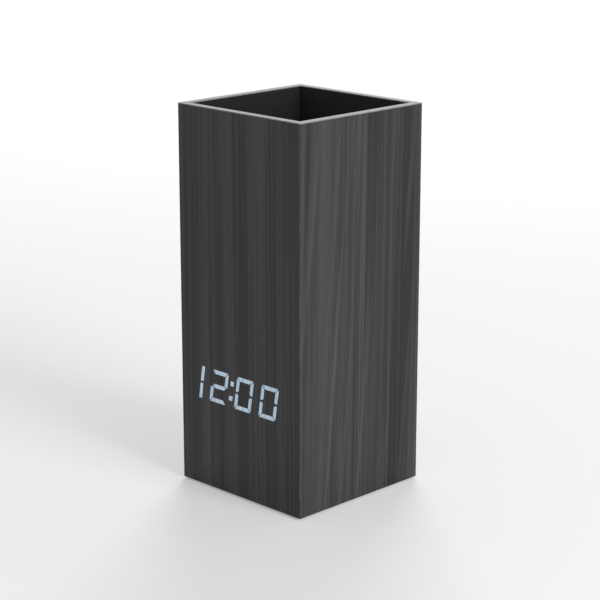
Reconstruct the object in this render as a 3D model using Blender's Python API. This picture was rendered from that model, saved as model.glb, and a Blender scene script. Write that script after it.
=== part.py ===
"""A pen holder clock: a square wood-finish tube with a pen well on top and a lit display low in front."""

import math

import bmesh
import bpy
from mathutils import Vector

# Metres throughout. The clock stands on the XY plane with its display facing -Y.
# The case is as wide as what stands in its lower part needs, and as tall as that and the pen well.

# Clearances
GLUE_LINE = 0.0001
SEAT_GAP = 0.0003
SOLDER_GAP = 0.0001
CUT_OVERRUN = 0.001

# Casing
WRAP_THICKNESS = 0.0005
WRAP_EDGE_RADIUS = 0.0004
BOARD_THICKNESS = 0.0026
RIM_HEIGHT = 0.0004
WELL_DEPTH = 0.080
WELL_HEADROOM = 0.007
WELL_FLOOR_THICKNESS = 0.003
BLOCK_WIDTH = 0.008
BLOCK_HEIGHT = 0.012

# Display digits, seen from the front
SHOWN_TIME = "12:00"
DIGIT_HEIGHT = 0.0132
DIGIT_WIDTH = 0.0092
DIGIT_STROKE = 0.0016
DIGIT_PITCH = 0.0136
COLON_EXTRA = 0.0004
COLON_DOT = 0.0019
COLON_RISE = 0.0030
BAR_GAP = 0.0003
BAR_MIDDLE_GAP = 0.0009
BAR_CORNER_CUT = 0.0007
DIGIT_SLANT = math.radians(9.0)
DISPLAY_HEIGHT = 0.043
DISPLAY_OFFSET = -0.0007

# Display unit behind the veneer
VENEER_WINDOW_GAP = 0.00008
BAR_SINK = 0.00005
WINDOW_MARGIN_X = 0.0016
WINDOW_MARGIN_Z = 0.0018
GUIDE_THICKNESS = 0.001
GUIDE_BAR_RISE = 0.0005
LIGHT_BOX_DEPTH = 0.006
LIGHT_BOX_FLANGE = 0.002
LIGHT_BOX_EAR = 0.004
DISPLAY_SIDE_WEB = 0.0002
CELL_WALL_GAP = 0.0001
DISPLAY_BOARD_THICKNESS = 0.0012
LED_WIDTH = 0.0009
LED_HEIGHT = 0.0006
DRIVER_CHIP_WIDTH = 0.009
DRIVER_CHIP_HEIGHT = 0.004
DRIVER_CHIP_THICKNESS = 0.0014
DRIVER_CHIP_OFFSET = 0.014
DISPLAY_SCREW_OFFSET = 0.020
DISPLAY_SCREW_BITE = 0.0018

# Small screws of the display and of the control unit
SMALL_SHANK_RADIUS = 0.0009
SMALL_HEAD_RADIUS = 0.0018
SMALL_HEAD_HEIGHT = 0.0012
DRIVE_WIDTH = 0.0018
DRIVE_SLOT = 0.0005
DRIVE_DEPTH = 0.0003

# Control unit in the back
BEZEL_WIDTH = 0.050
BEZEL_HEIGHT = 0.044
BEZEL_CENTRE = 0.040
BEZEL_RADIUS = 0.003
BEZEL_RECESS = 0.0001
FLANGE_THICKNESS = 0.0015
CONTROL_SIDE_WEB = 0.0025
TRAY_WIDTH = 0.0408
TRAY_HEIGHT = 0.0348
TRAY_RADIUS = 0.002
TRAY_DROP = 0.001
POCKET_WIDTH = 0.038
POCKET_HEIGHT = 0.032
POCKET_RADIUS = 0.0015
POCKET_DEPTH = 0.001
BEZEL_SCREW_OFFSET = 0.022
BEZEL_HEAD_HEIGHT = 0.0005
BEZEL_HEAD_SINK = 0.0001
BEZEL_SCREW_LENGTH = 0.0020
MAIN_BOARD_WIDTH = 0.038
MAIN_BOARD_HEIGHT = 0.032
MAIN_BOARD_THICKNESS = 0.0012
MAIN_BOARD_STANDOFF = 0.0051
BOSS_RADIUS = 0.0025
BOSS_INSET = 0.0028
BOSS_RISE = 0.001
BOARD_SCREW_BITE = 0.004

# Push buttons and their switches
BUTTON_NAMES = ("set", "up", "down")
BUTTON_PITCH = 0.011
BUTTON_RISE = 0.008
BUTTON_RADIUS = 0.0033
BUTTON_DISH_RADIUS = 0.0024
BUTTON_DISH_DEPTH = 0.0003
BUTTON_SINK = 0.0001
BUTTON_COLLAR_RADIUS = 0.0043
BUTTON_COLLAR_HEIGHT = 0.0008
BUTTON_TRAVEL = 0.0006
SWITCH_WIDTH = 0.006
SWITCH_HEIGHT = 0.003
PLUNGER_RADIUS = 0.0015
PLUNGER_LENGTH = 0.002

# Eco switch, power inlet, microphone and temperature sensor
LOWER_ROW_DROP = 0.009
ECO_OFFSET = -0.0095
ECO_BODY_WIDTH = 0.0106
ECO_BODY_HEIGHT = 0.005
ECO_BODY_DEPTH = 0.003
ECO_KNOB_WIDTH = 0.0024
ECO_KNOB_HEIGHT = 0.0028
ECO_KNOB_SINK = 0.0002
ECO_KNOB_ENTRY = 0.0012
ECO_RIB_WIDTH = 0.0006
ECO_RIB_DEPTH = 0.0003
ECO_WING_WIDTH = 0.0056
ECO_WING_HEIGHT = 0.0044
ECO_WING_THICKNESS = 0.0008
ECO_TRAVEL = 0.0025
INLET_OFFSET = 0.0095
INLET_WIDTH = 0.009
INLET_HEIGHT = 0.0033
INLET_RADIUS = 0.0012
INLET_WALL = 0.0004
INLET_SINK = 0.0001
INLET_CAVITY_DEPTH = 0.005
INLET_TONGUE_WIDTH = 0.0064
INLET_TONGUE_THICKNESS = 0.0007
INLET_TONGUE_SINK = 0.0008
MICROPHONE_RADIUS = 0.002
MICROPHONE_LENGTH = 0.0046
MICROPHONE_RISE = 0.002
MICROPHONE_HOLE_RADIUS = 0.0006
SENSOR_RADIUS = 0.0012
SENSOR_LENGTH = 0.0044
SENSOR_DROP = 0.004
VENT_WIDTH = 0.006
VENT_HEIGHT = 0.0007
VENT_PITCH = 0.0016
VENT_COUNT = 3

# Pieces on the inner side of the main board
CHIP_WIDTH = 0.009
CHIP_THICKNESS = 0.0014
CHIP_OFFSET = -0.008
CHIP_DROP = 0.006
BUZZER_RADIUS = 0.0045
BUZZER_LENGTH = 0.004
BUZZER_HOLE_RADIUS = 0.0009
BUZZER_HOLE_DEPTH = 0.001
BUZZER_SIDE_MARGIN = 0.0025
BUZZER_TOP_MARGIN = 0.0015
CELL_HOLDER_WIDTH = 0.015
CELL_HOLDER_HEIGHT = 0.014
CELL_HOLDER_DEPTH = 0.0034
CELL_HOLDER_SIDE_MARGIN = 0.002
CELL_HOLDER_SCREW_GAP = 0.001
CELL_HOLDER_FLOOR = 0.0007
COIN_CELL_RADIUS = 0.00625
COIN_CELL_THICKNESS = 0.002
COIN_CELL_STEP = 0.0006

# Ribbon cable between the two boards
RIBBON_WIDTH = 0.0127
RIBBON_THICKNESS = 0.0009
RIBBON_SAG = 0.004
RIBBON_STEPS = 16
RIBBON_PLUG_HEIGHT = 0.004
RIBBON_PLUG_DEPTH = 0.0055
RIBBON_BUZZER_GAP = 0.0027
RIBBON_RISE = 0.0105

# Base
FOOT_RADIUS = 0.004
FOOT_PROUD = 0.0008
FOOT_RECESS = 0.0008
FOOT_EDGE_BREAK = 0.0002
FOOT_INSET = 0.005
BASE_THICKNESS = 0.003
BASE_RIM = 0.0033
BASE_HEAD_RADIUS = 0.002
BASE_HEAD_HEIGHT = 0.0009
BASE_SHANK_RADIUS = 0.001
BASE_SCREW_BITE = 0.0079
CELL_RADIUS = 0.00525
CELL_LENGTH = 0.0445
CELL_PITCH = 0.011
CELL_COUNT = 3
CELL_TIP_RADIUS = 0.0018
CELL_TIP_LENGTH = 0.0011
CELL_EDGE_BREAK = 0.0004
CELL_LIFT = 0.00055
CONTACT_ROOM = 0.00275
CELL_SIDE_ROOM = 0.00075
BATTERY_BOX_WALL = 0.0012
CONTACT_THICKNESS = 0.0004
CONTACT_WIDTH = 0.008
CONTACT_HEIGHT = 0.008
SPRING_BASE_RADIUS = 0.0032
SPRING_TIP_RADIUS = 0.0018
BUMP_RADIUS = 0.0016
LEAD_RADIUS = 0.0007
LEAD_PORT_RADIUS = 0.0011
LEAD_STEP = 0.0018

# Battery door
DOOR_THICKNESS = 0.0016
HINGE_BARREL_RADIUS = 0.0013
HINGE_PIN_RADIUS = 0.0006
HINGE_PIN_LENGTH = 0.0015
DOOR_NOTCH_RADIUS = 0.005
DOOR_NOTCH_DEPTH = 0.0009
DOOR_RIB_WIDTH = 0.0008
DOOR_RIB_DEPTH = 0.0003
DOOR_RIB_LENGTH = 0.010
DOOR_RIB_PITCH = 0.0018
DOOR_RIB_COUNT = 5
DOOR_RIB_INSET = 0.003

# Facets of round shapes
FINE_SIDES = 24
COARSE_SIDES = 16
CORNER_STEPS = 5

# Which of a digit's seven bars are lit for each numeral
LIT_BARS = {
    "0": "abcdef",
    "1": "bc",
    "2": "abged",
    "3": "abgcd",
    "4": "fgbc",
    "5": "afgcd",
    "6": "afgedc",
    "7": "abc",
    "8": "abcdefg",
    "9": "abcdfg",
}

# Planes and spans that the sizes above fix
DISPLAY_WIDTH = 3 * DIGIT_PITCH + COLON_EXTRA + DIGIT_STROKE
LAST_DIGIT = DISPLAY_OFFSET + (DISPLAY_WIDTH - DIGIT_WIDTH) / 2
COLON_PLACE = LAST_DIGIT - 1.5 * DIGIT_PITCH - COLON_EXTRA / 2
WINDOW_WIDTH = DISPLAY_WIDTH + 2 * WINDOW_MARGIN_X
WINDOW_HEIGHT = DIGIT_HEIGHT + 2 * WINDOW_MARGIN_Z
BATTERY_LENGTH = CELL_LENGTH + 2 * CONTACT_ROOM
BATTERY_WIDTH = (CELL_COUNT - 1) * CELL_PITCH + 2 * CELL_RADIUS + 2 * CELL_SIDE_ROOM
BATTERY_NEED = BATTERY_LENGTH / 2 + BATTERY_BOX_WALL + BASE_RIM
BLOCK_NEED = BATTERY_WIDTH / 2 + BATTERY_BOX_WALL + SEAT_GAP + BLOCK_WIDTH
DISPLAY_NEED = WINDOW_WIDTH / 2 + abs(DISPLAY_OFFSET) + DISPLAY_SIDE_WEB
CONTROL_NEED = BEZEL_WIDTH / 2 + CONTROL_SIDE_WEB
BASE_HALF = max(BATTERY_NEED, BLOCK_NEED, DISPLAY_NEED, CONTROL_NEED)
WELL_HALF = BASE_HALF + SEAT_GAP
BOARD_OUTER = WELL_HALF + BOARD_THICKNESS
WRAP_INNER = BOARD_OUTER + GLUE_LINE
HALF_WIDTH = WRAP_INNER + WRAP_THICKNESS
CASE_WIDTH = 2 * HALF_WIDTH
DISPLAY_TOP = DISPLAY_HEIGHT + WINDOW_HEIGHT / 2 + LIGHT_BOX_EAR
CONTROL_TOP = BEZEL_CENTRE + BEZEL_HEIGHT / 2
WELL_FLOOR_TOP = max(DISPLAY_TOP, CONTROL_TOP) + WELL_HEADROOM + WELL_FLOOR_THICKNESS
OVERALL_HEIGHT = WELL_FLOOR_TOP + WELL_DEPTH
CASE_BOTTOM = FOOT_PROUD
CASE_TOP = OVERALL_HEIGHT - RIM_HEIGHT - GLUE_LINE
GUIDE_BACK = -BOARD_OUTER + GUIDE_BAR_RISE + GUIDE_THICKNESS
LIGHT_BOX_FRONT = GUIDE_BACK + SEAT_GAP
LIGHT_BOX_BACK = LIGHT_BOX_FRONT + LIGHT_BOX_DEPTH
DISPLAY_BOARD_FRONT = LIGHT_BOX_BACK + SEAT_GAP
DISPLAY_BOARD_BACK = DISPLAY_BOARD_FRONT + DISPLAY_BOARD_THICKNESS
BEZEL_FACE = HALF_WIDTH - BEZEL_RECESS
FLANGE_BACK = BEZEL_FACE - FLANGE_THICKNESS
TRAY_BACK = FLANGE_BACK - TRAY_DROP
POCKET_FACE = BEZEL_FACE - POCKET_DEPTH
MAIN_BOARD_FACE = TRAY_BACK - MAIN_BOARD_STANDOFF
MAIN_BOARD_BACK = MAIN_BOARD_FACE - MAIN_BOARD_THICKNESS
BOSS_OFFSET = MAIN_BOARD_WIDTH / 2 - BOSS_INSET
BUZZER_OFFSET = -(MAIN_BOARD_WIDTH / 2 - BUZZER_RADIUS - BUZZER_SIDE_MARGIN)
BUZZER_RISE = MAIN_BOARD_HEIGHT / 2 - BUZZER_RADIUS - BUZZER_TOP_MARGIN
CELL_HOLDER_OFFSET = (MAIN_BOARD_WIDTH - CELL_HOLDER_WIDTH) / 2 - CELL_HOLDER_SIDE_MARGIN
CELL_HOLDER_DROP = SMALL_HEAD_RADIUS + CELL_HOLDER_SCREW_GAP + CELL_HOLDER_HEIGHT / 2 - BOSS_RISE
RIBBON_PLUG_WIDTH = RIBBON_WIDTH + RIBBON_THICKNESS
RIBBON_OFFSET = BUZZER_OFFSET + BUZZER_RADIUS + RIBBON_BUZZER_GAP + RIBBON_PLUG_WIDTH / 2
PART_FACE = MAIN_BOARD_FACE + SOLDER_GAP
PART_BACK = MAIN_BOARD_BACK - SOLDER_GAP
BUTTON_ROW = BEZEL_CENTRE + BUTTON_RISE
LOWER_ROW = BEZEL_CENTRE - LOWER_ROW_DROP
BASE_TOP = CASE_BOTTOM + BASE_THICKNESS
FOOT_OFFSET = WELL_HALF - FOOT_INSET
FOOT_SEAT = CASE_BOTTOM + FOOT_RECESS
CELL_AXIS_HEIGHT = CASE_BOTTOM + DOOR_THICKNESS + CELL_LIFT + CELL_RADIUS
BATTERY_TOP = CELL_AXIS_HEIGHT + CELL_RADIUS + SEAT_GAP
HINGE_X = -BATTERY_LENGTH / 2 + SEAT_GAP + HINGE_BARREL_RADIUS
HINGE_Z = CASE_BOTTOM + HINGE_BARREL_RADIUS


def clear_scene():
    for old in list(bpy.data.objects):
        bpy.data.objects.remove(old, do_unlink=True)


def make_material(name, colour, roughness, metallic=0.0):
    material = bpy.data.materials.new(name)
    material.use_nodes = True
    shader = material.node_tree.nodes["Principled BSDF"]
    shader.inputs["Base Color"].default_value = (*colour, 1.0)
    shader.inputs["Roughness"].default_value = roughness
    shader.inputs["Metallic"].default_value = metallic
    return material


def rectangle(width, height, centre=(0, 0)):
    across, up = centre
    corners = ((-1, -1), (1, -1), (1, 1), (-1, 1))
    return [(across + sx * width / 2, up + sy * height / 2) for sx, sy in corners]


def round_rectangle(width, height, radius, centre=(0, 0)):
    """Return a rectangle whose corners are quarter circles."""
    points = []
    corners = ((1, 1), (-1, 1), (-1, -1), (1, -1))
    for index, (sx, sy) in enumerate(corners):
        middle_x = centre[0] + sx * (width / 2 - radius)
        middle_y = centre[1] + sy * (height / 2 - radius)
        for step in range(CORNER_STEPS + 1):
            angle = math.pi / 2 * (index + step / CORNER_STEPS)
            points.append((middle_x + radius * math.cos(angle), middle_y + radius * math.sin(angle)))
    return points


def circle(radius, sides, centre=(0, 0)):
    turns = [2 * math.pi * index / sides for index in range(sides)]
    return [(centre[0] + radius * math.cos(turn), centre[1] + radius * math.sin(turn)) for turn in turns]


def in_space(point, level, axis):
    """Place a flat outline's point at a level along the axis that it is extruded along."""
    first, second = point
    if axis == "X":
        return Vector((level, first, second))
    if axis == "Y":
        return Vector((first, level, second))
    return Vector((first, second, level))


def add_prism(mesh, outline, low, high, axis="Z"):
    bottom = mesh.faces.new([mesh.verts.new(in_space(point, low, axis)) for point in outline])
    risen = bmesh.ops.extrude_face_region(mesh, geom=[bottom])
    top = [item for item in risen["geom"] if isinstance(item, bmesh.types.BMVert)]
    lift = in_space((0, 0), high - low, axis)
    bmesh.ops.translate(mesh, vec=lift, verts=top)


def object_from(name, mesh, place=(0, 0, 0)):
    bmesh.ops.recalc_face_normals(mesh, faces=mesh.faces)
    data = bpy.data.meshes.new(name)
    mesh.to_mesh(data)
    mesh.free()
    made = bpy.data.objects.new(name, data)
    made.location = place
    bpy.context.collection.objects.link(made)
    return made


def prism(name, outline, low, high, axis="Z", place=(0, 0, 0)):
    mesh = bmesh.new()
    add_prism(mesh, outline, low, high, axis)
    return object_from(name, mesh, place)


def turned(name, profile, sides, axis="Z", place=(0, 0, 0)):
    """Turn a profile of (radius, level) points, whose first and last lie on the axis."""
    mesh = bmesh.new()
    rings = []
    for radius, level in profile[1:-1]:
        rings.append([mesh.verts.new(in_space(point, level, axis)) for point in circle(radius, sides)])
    for lower, upper in zip(rings, rings[1:]):
        for index in range(sides):
            after = (index + 1) % sides
            mesh.faces.new((lower[index], lower[after], upper[after], upper[index]))
    mesh.faces.new(rings[0])
    mesh.faces.new(rings[-1])
    return object_from(name, mesh, place)


def use_material(made, material):
    made.data.materials.clear()
    made.data.materials.append(material)
    return made


def shade_round(made):
    made.data.shade_smooth()
    made.data.set_sharp_from_angle(angle=math.radians(35))
    return made


def combine(target, tool, operation):
    tool.hide_render = True
    tool.display_type = "WIRE"
    boolean = target.modifiers.new(tool.name, "BOOLEAN")
    boolean.operation = operation
    boolean.solver = "EXACT"
    boolean.object = tool


def cut(target, *tools):
    for tool in tools:
        combine(target, tool, "DIFFERENCE")


def fuse(target, *tools):
    for tool in tools:
        combine(target, tool, "UNION")


def corner_signs():
    return ((1, 1), (-1, 1), (-1, -1), (1, -1))


def flipped(outline, x_sign, z_sign):
    """Mirror an outline and keep it running anticlockwise."""
    mirrored = [(x * x_sign, z * z_sign) for x, z in outline]
    return mirrored if x_sign == z_sign else mirrored[::-1]


def bar_outlines():
    """Return the outlines of a digit's seven bars, whose mitred tips are cut short."""
    mitre = BAR_GAP / math.sqrt(2)
    far = (BAR_CORNER_CUT + mitre) / 2
    near = (BAR_CORNER_CUT - mitre) / 2
    half = DIGIT_STROKE / 2
    side = DIGIT_WIDTH / 2
    top = DIGIT_HEIGHT / 2
    inner_side = side - DIGIT_STROKE
    inner_top = top - DIGIT_STROKE
    upper = [
        (mitre - inner_side, inner_top),
        (inner_side - mitre, inner_top),
        (side - far, top - near),
        (side - BAR_CORNER_CUT, top),
        (BAR_CORNER_CUT - side, top),
        (far - side, top - near),
    ]
    right = [
        (side, BAR_MIDDLE_GAP / 2),
        (side, top - BAR_CORNER_CUT),
        (side - near, top - far),
        (inner_side, inner_top - mitre),
        (inner_side, half + mitre),
        (side - half + mitre - BAR_MIDDLE_GAP / 2, BAR_MIDDLE_GAP / 2),
    ]
    tip = side - half - mitre
    shoulder = tip - half
    middle = [
        (-tip, 0), (-shoulder, -half), (shoulder, -half),
        (tip, 0), (shoulder, half), (-shoulder, half),
    ]
    return {
        "a": upper,
        "b": right,
        "c": flipped(right, 1, -1),
        "d": flipped(upper, 1, -1),
        "e": flipped(right, -1, -1),
        "f": flipped(right, -1, 1),
        "g": middle,
    }


def half_digit_outlines():
    """Return the two plain bars of a digit that only ever shows a 1."""
    side = DIGIT_WIDTH / 2
    top = DIGIT_HEIGHT / 2
    inner_side = side - DIGIT_STROKE
    low = BAR_MIDDLE_GAP / 2
    upper = [(side, low), (side, top), (inner_side, top), (inner_side, low)]
    return {"b": upper, "c": flipped(upper, 1, -1)}


def grown(outline, growth):
    """Move every side of an anticlockwise outline outwards by the same distance."""
    points = [Vector(point) for point in outline]
    moved = []
    for index, point in enumerate(points):
        before = (point - points[index - 1]).normalized()
        after = (points[(index + 1) % len(points)] - point).normalized()
        first = Vector((before.y, -before.x))
        second = Vector((after.y, -after.x))
        moved.append(point + (first + second) * growth / (1 + first.dot(second)))
    return moved


def slanted(outline, centre_x):
    """Lean an outline like italic print and place it on the display's middle line."""
    lean = math.tan(DIGIT_SLANT)
    return [(centre_x + x + z * lean, DISPLAY_HEIGHT + z) for x, z in outline]


def digit_centres():
    first = LAST_DIGIT - 3 * DIGIT_PITCH - COLON_EXTRA
    colon_steps = (0, 0, COLON_EXTRA, COLON_EXTRA)
    return [first + index * DIGIT_PITCH + extra for index, extra in enumerate(colon_steps)]


def digit_bars():
    """Yield the middle of each bar's digit, the bar's outline and whether it is lit."""
    whole = bar_outlines()
    kinds = (half_digit_outlines(), whole, whole, whole)
    for centre_x, numeral, bars in zip(digit_centres(), SHOWN_TIME.replace(":", ""), kinds):
        for bar, outline in bars.items():
            yield centre_x, outline, bar in LIT_BARS[numeral]


def display_outlines(growth, lit_only):
    """Return the outlines of the digits' bars and of the colon's two dots."""
    outlines = []
    for centre_x, outline, lit in digit_bars():
        if lit or not lit_only:
            outlines.append(slanted(grown(outline, growth), centre_x))
    dot = COLON_DOT + 2 * growth
    for rise in (-COLON_RISE, COLON_RISE):
        outlines.append(slanted(rectangle(dot, dot, (0, rise)), COLON_PLACE))
    return outlines


def prisms(name, outlines, low, high, axis):
    mesh = bmesh.new()
    for outline in outlines:
        add_prism(mesh, outline, low, high, axis)
    return object_from(name, mesh)


def bezel_opening(name, low, high):
    """Make the cutter for the recess that the control unit's flange lies in."""
    width = BEZEL_WIDTH + 2 * SEAT_GAP
    height = BEZEL_HEIGHT + 2 * SEAT_GAP
    outline = round_rectangle(width, height, BEZEL_RADIUS + SEAT_GAP, (0, BEZEL_CENTRE))
    return prism(name, outline, low, high, "Y")


def make_veneer_wrap(material):
    """Make the thin skin round all four sides, pierced where the lit bars show through it."""
    outer = round_rectangle(CASE_WIDTH, CASE_WIDTH, WRAP_EDGE_RADIUS)
    wrap = prism("veneer_wrap", outer, CASE_BOTTOM, CASE_TOP)
    hollow = rectangle(2 * WRAP_INNER, 2 * WRAP_INNER)
    core = prism("cut_wrap_core", hollow, CASE_BOTTOM - CUT_OVERRUN, CASE_TOP + CUT_OVERRUN)
    lit = display_outlines(VENEER_WINDOW_GAP, lit_only=True)
    windows = prisms("cut_veneer_windows", lit, -HALF_WIDTH - CUT_OVERRUN, -WRAP_INNER + CUT_OVERRUN, "Y")
    opening = bezel_opening("cut_wrap_opening", WRAP_INNER - CUT_OVERRUN, HALF_WIDTH + CUT_OVERRUN)
    cut(wrap, core, windows, opening)
    return use_material(wrap, material)


def board_outline():
    """Return a mitred board's section, with its outer face on -Y."""
    mitre = GLUE_LINE / math.sqrt(2)
    outer = BOARD_OUTER - mitre
    inner = WELL_HALF - mitre
    return [(-outer, -BOARD_OUTER), (outer, -BOARD_OUTER), (inner, -WELL_HALF), (-inner, -WELL_HALF)]


def make_boards(material):
    """Make the four mitred boards that the veneer is wrapped round."""
    boards = {}
    for turn, side in enumerate(("front", "right", "back", "left")):
        board = prism("board_" + side, board_outline(), CASE_BOTTOM, CASE_TOP)
        board.rotation_euler.z = turn * math.pi / 2
        boards[side] = use_material(board, material)
    return boards


def cut_display_window(board):
    """Open the front board for the light box and drill it for the display's screws."""
    outline = rectangle(WINDOW_WIDTH, WINDOW_HEIGHT, (DISPLAY_OFFSET, DISPLAY_HEIGHT))
    cut(board, prism("cut_window", outline, -BOARD_OUTER - CUT_OVERRUN, -WELL_HALF + CUT_OVERRUN, "Y"))
    radius = SMALL_SHANK_RADIUS + SEAT_GAP
    depth = DISPLAY_SCREW_BITE + SEAT_GAP
    for index, centre in enumerate(display_screw_places()):
        hole = circle(radius, COARSE_SIDES, centre)
        name = "cut_window_pilot_" + str(index + 1)
        cut(board, prism(name, hole, -WELL_HALF - depth, -WELL_HALF + CUT_OVERRUN, "Y"))


def cut_control_opening(board):
    """Open the back board for the control unit and drill it for the bezel screws."""
    through = round_rectangle(
        TRAY_WIDTH + 2 * SEAT_GAP, TRAY_HEIGHT + 2 * SEAT_GAP, TRAY_RADIUS + SEAT_GAP, (0, BEZEL_CENTRE)
    )
    cut(board, prism("cut_back_through", through, WELL_HALF - CUT_OVERRUN, BOARD_OUTER + CUT_OVERRUN, "Y"))
    cut(board, bezel_opening("cut_back_rebate", FLANGE_BACK - SEAT_GAP, BOARD_OUTER + CUT_OVERRUN))
    radius = SMALL_SHANK_RADIUS + SEAT_GAP
    tip = BEZEL_FACE - BEZEL_HEAD_SINK - BEZEL_HEAD_HEIGHT - BEZEL_SCREW_LENGTH - SEAT_GAP
    for index, sign in enumerate((-1, 1)):
        hole = circle(radius, COARSE_SIDES, (sign * BEZEL_SCREW_OFFSET, BEZEL_CENTRE))
        cut(board, prism("cut_back_pilot_" + str(index + 1), hole, tip, BOARD_OUTER, "Y"))


def make_rim(material):
    """Make the light edge band on top of the four walls."""
    outer = round_rectangle(CASE_WIDTH, CASE_WIDTH, WRAP_EDGE_RADIUS)
    rim = prism("rim_edge_band", outer, OVERALL_HEIGHT - RIM_HEIGHT, OVERALL_HEIGHT)
    hollow = rectangle(2 * WELL_HALF, 2 * WELL_HALF)
    low = OVERALL_HEIGHT - RIM_HEIGHT - CUT_OVERRUN
    cut(rim, prism("cut_rim", hollow, low, OVERALL_HEIGHT + CUT_OVERRUN))
    return use_material(rim, material)


def make_well_floor(material):
    outline = rectangle(2 * BASE_HALF, 2 * BASE_HALF)
    floor = prism("well_floor", outline, WELL_FLOOR_TOP - WELL_FLOOR_THICKNESS, WELL_FLOOR_TOP)
    return use_material(floor, material)


def make_glue_blocks(material):
    """Make the corner blocks that the base's screws bite into."""
    low = BASE_TOP + SEAT_GAP
    centre = WELL_HALF - GLUE_LINE - BLOCK_WIDTH / 2
    for index, (sx, sy) in enumerate(corner_signs()):
        place = (sx * centre, sy * centre)
        name = "glue_block_" + str(index + 1)
        block = prism(name, rectangle(BLOCK_WIDTH, BLOCK_WIDTH, place), low, low + BLOCK_HEIGHT)
        hole = circle(BASE_SHANK_RADIUS + SEAT_GAP, COARSE_SIDES, (sx * FOOT_OFFSET, sy * FOOT_OFFSET))
        top = low + BASE_SCREW_BITE + SEAT_GAP
        cut(block, prism("cut_block_" + str(index + 1), hole, low - CUT_OVERRUN, top))
        use_material(block, material)


def display_screw_places():
    """Return one screw above the digits and one below, at opposite ends."""
    rise = WINDOW_HEIGHT / 2 + LIGHT_BOX_EAR / 2
    return [
        (DISPLAY_OFFSET + sign * DISPLAY_SCREW_OFFSET, DISPLAY_HEIGHT + sign * rise)
        for sign in (-1, 1)
    ]


def make_light_guide(material):
    """Make the plate whose lit bars reach through the veneer and whose other bars stop behind it."""
    width = WINDOW_WIDTH - 2 * SEAT_GAP
    height = WINDOW_HEIGHT - 2 * SEAT_GAP
    outline = rectangle(width, height, (DISPLAY_OFFSET, DISPLAY_HEIGHT))
    front = GUIDE_BACK - GUIDE_THICKNESS
    guide = prism("light_guide", outline, front, GUIDE_BACK, "Y")
    inside = front + GUIDE_THICKNESS / 2
    every_bar = display_outlines(0, lit_only=False)
    lit_bars = display_outlines(0, lit_only=True)
    fuse(guide, prisms("add_bars", every_bar, -BOARD_OUTER, inside, "Y"))
    fuse(guide, prisms("add_lit_bars", lit_bars, -HALF_WIDTH + BAR_SINK, inside, "Y"))
    return use_material(guide, material)


def make_light_box(material):
    """Make the reflector, with one cell behind each bar and an ear above and below."""
    centre = (DISPLAY_OFFSET, DISPLAY_HEIGHT)
    width = WINDOW_WIDTH - 2 * SEAT_GAP
    body = rectangle(width, WINDOW_HEIGHT - 2 * SEAT_GAP, centre)
    light_box = prism("light_box", body, LIGHT_BOX_FRONT, LIGHT_BOX_BACK, "Y")
    ears = rectangle(width, WINDOW_HEIGHT + 2 * LIGHT_BOX_EAR, centre)
    seat = -WELL_HALF + SEAT_GAP
    fuse(light_box, prism("add_ears", ears, seat, seat + LIGHT_BOX_FLANGE, "Y"))
    cells = display_outlines(CELL_WALL_GAP, lit_only=False)
    low = LIGHT_BOX_FRONT - CUT_OVERRUN
    cut(light_box, prisms("cut_cells", cells, low, LIGHT_BOX_BACK + CUT_OVERRUN, "Y"))
    for index, place in enumerate(display_screw_places()):
        hole = circle(SMALL_SHANK_RADIUS + SEAT_GAP, COARSE_SIDES, place)
        cut(light_box, prism("cut_ear_" + str(index + 1), hole, low, LIGHT_BOX_BACK + CUT_OVERRUN, "Y"))
    return use_material(light_box, material)


def led_outlines():
    """Return one small square behind the middle of each bar and dot."""
    squares = []
    for centre_x, outline, _ in digit_bars():
        middle = sum((Vector(point) for point in outline), Vector((0, 0))) / len(outline)
        squares.append(slanted(rectangle(LED_WIDTH, LED_WIDTH, middle), centre_x))
    for rise in (-COLON_RISE, COLON_RISE):
        squares.append(slanted(rectangle(LED_WIDTH, LED_WIDTH, (0, rise)), COLON_PLACE))
    return squares


def make_display_board(material):
    """Make the display's circuit board, with its light sources and its driver chip."""
    centre = (DISPLAY_OFFSET, DISPLAY_HEIGHT)
    outline = rectangle(WINDOW_WIDTH - 2 * SEAT_GAP, WINDOW_HEIGHT + 2 * LIGHT_BOX_EAR, centre)
    board = prism("display_pcb", outline, DISPLAY_BOARD_FRONT, DISPLAY_BOARD_BACK, "Y")
    middle = (DISPLAY_BOARD_FRONT + DISPLAY_BOARD_BACK) / 2
    fuse(board, prisms("add_leds", led_outlines(), DISPLAY_BOARD_FRONT - LED_HEIGHT, middle, "Y"))
    chip_place = (DISPLAY_OFFSET - DRIVER_CHIP_OFFSET, DISPLAY_HEIGHT)
    chip = rectangle(DRIVER_CHIP_WIDTH, DRIVER_CHIP_HEIGHT, chip_place)
    fuse(board, prism("add_driver", chip, middle, DISPLAY_BOARD_BACK + DRIVER_CHIP_THICKNESS, "Y"))
    for index, place in enumerate(display_screw_places()):
        hole = circle(SMALL_SHANK_RADIUS + SEAT_GAP, COARSE_SIDES, place)
        low = DISPLAY_BOARD_FRONT - CUT_OVERRUN
        high = DISPLAY_BOARD_BACK + CUT_OVERRUN
        cut(board, prism("cut_led_board_" + str(index + 1), hole, low, high, "Y"))
    return use_material(board, material)


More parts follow.
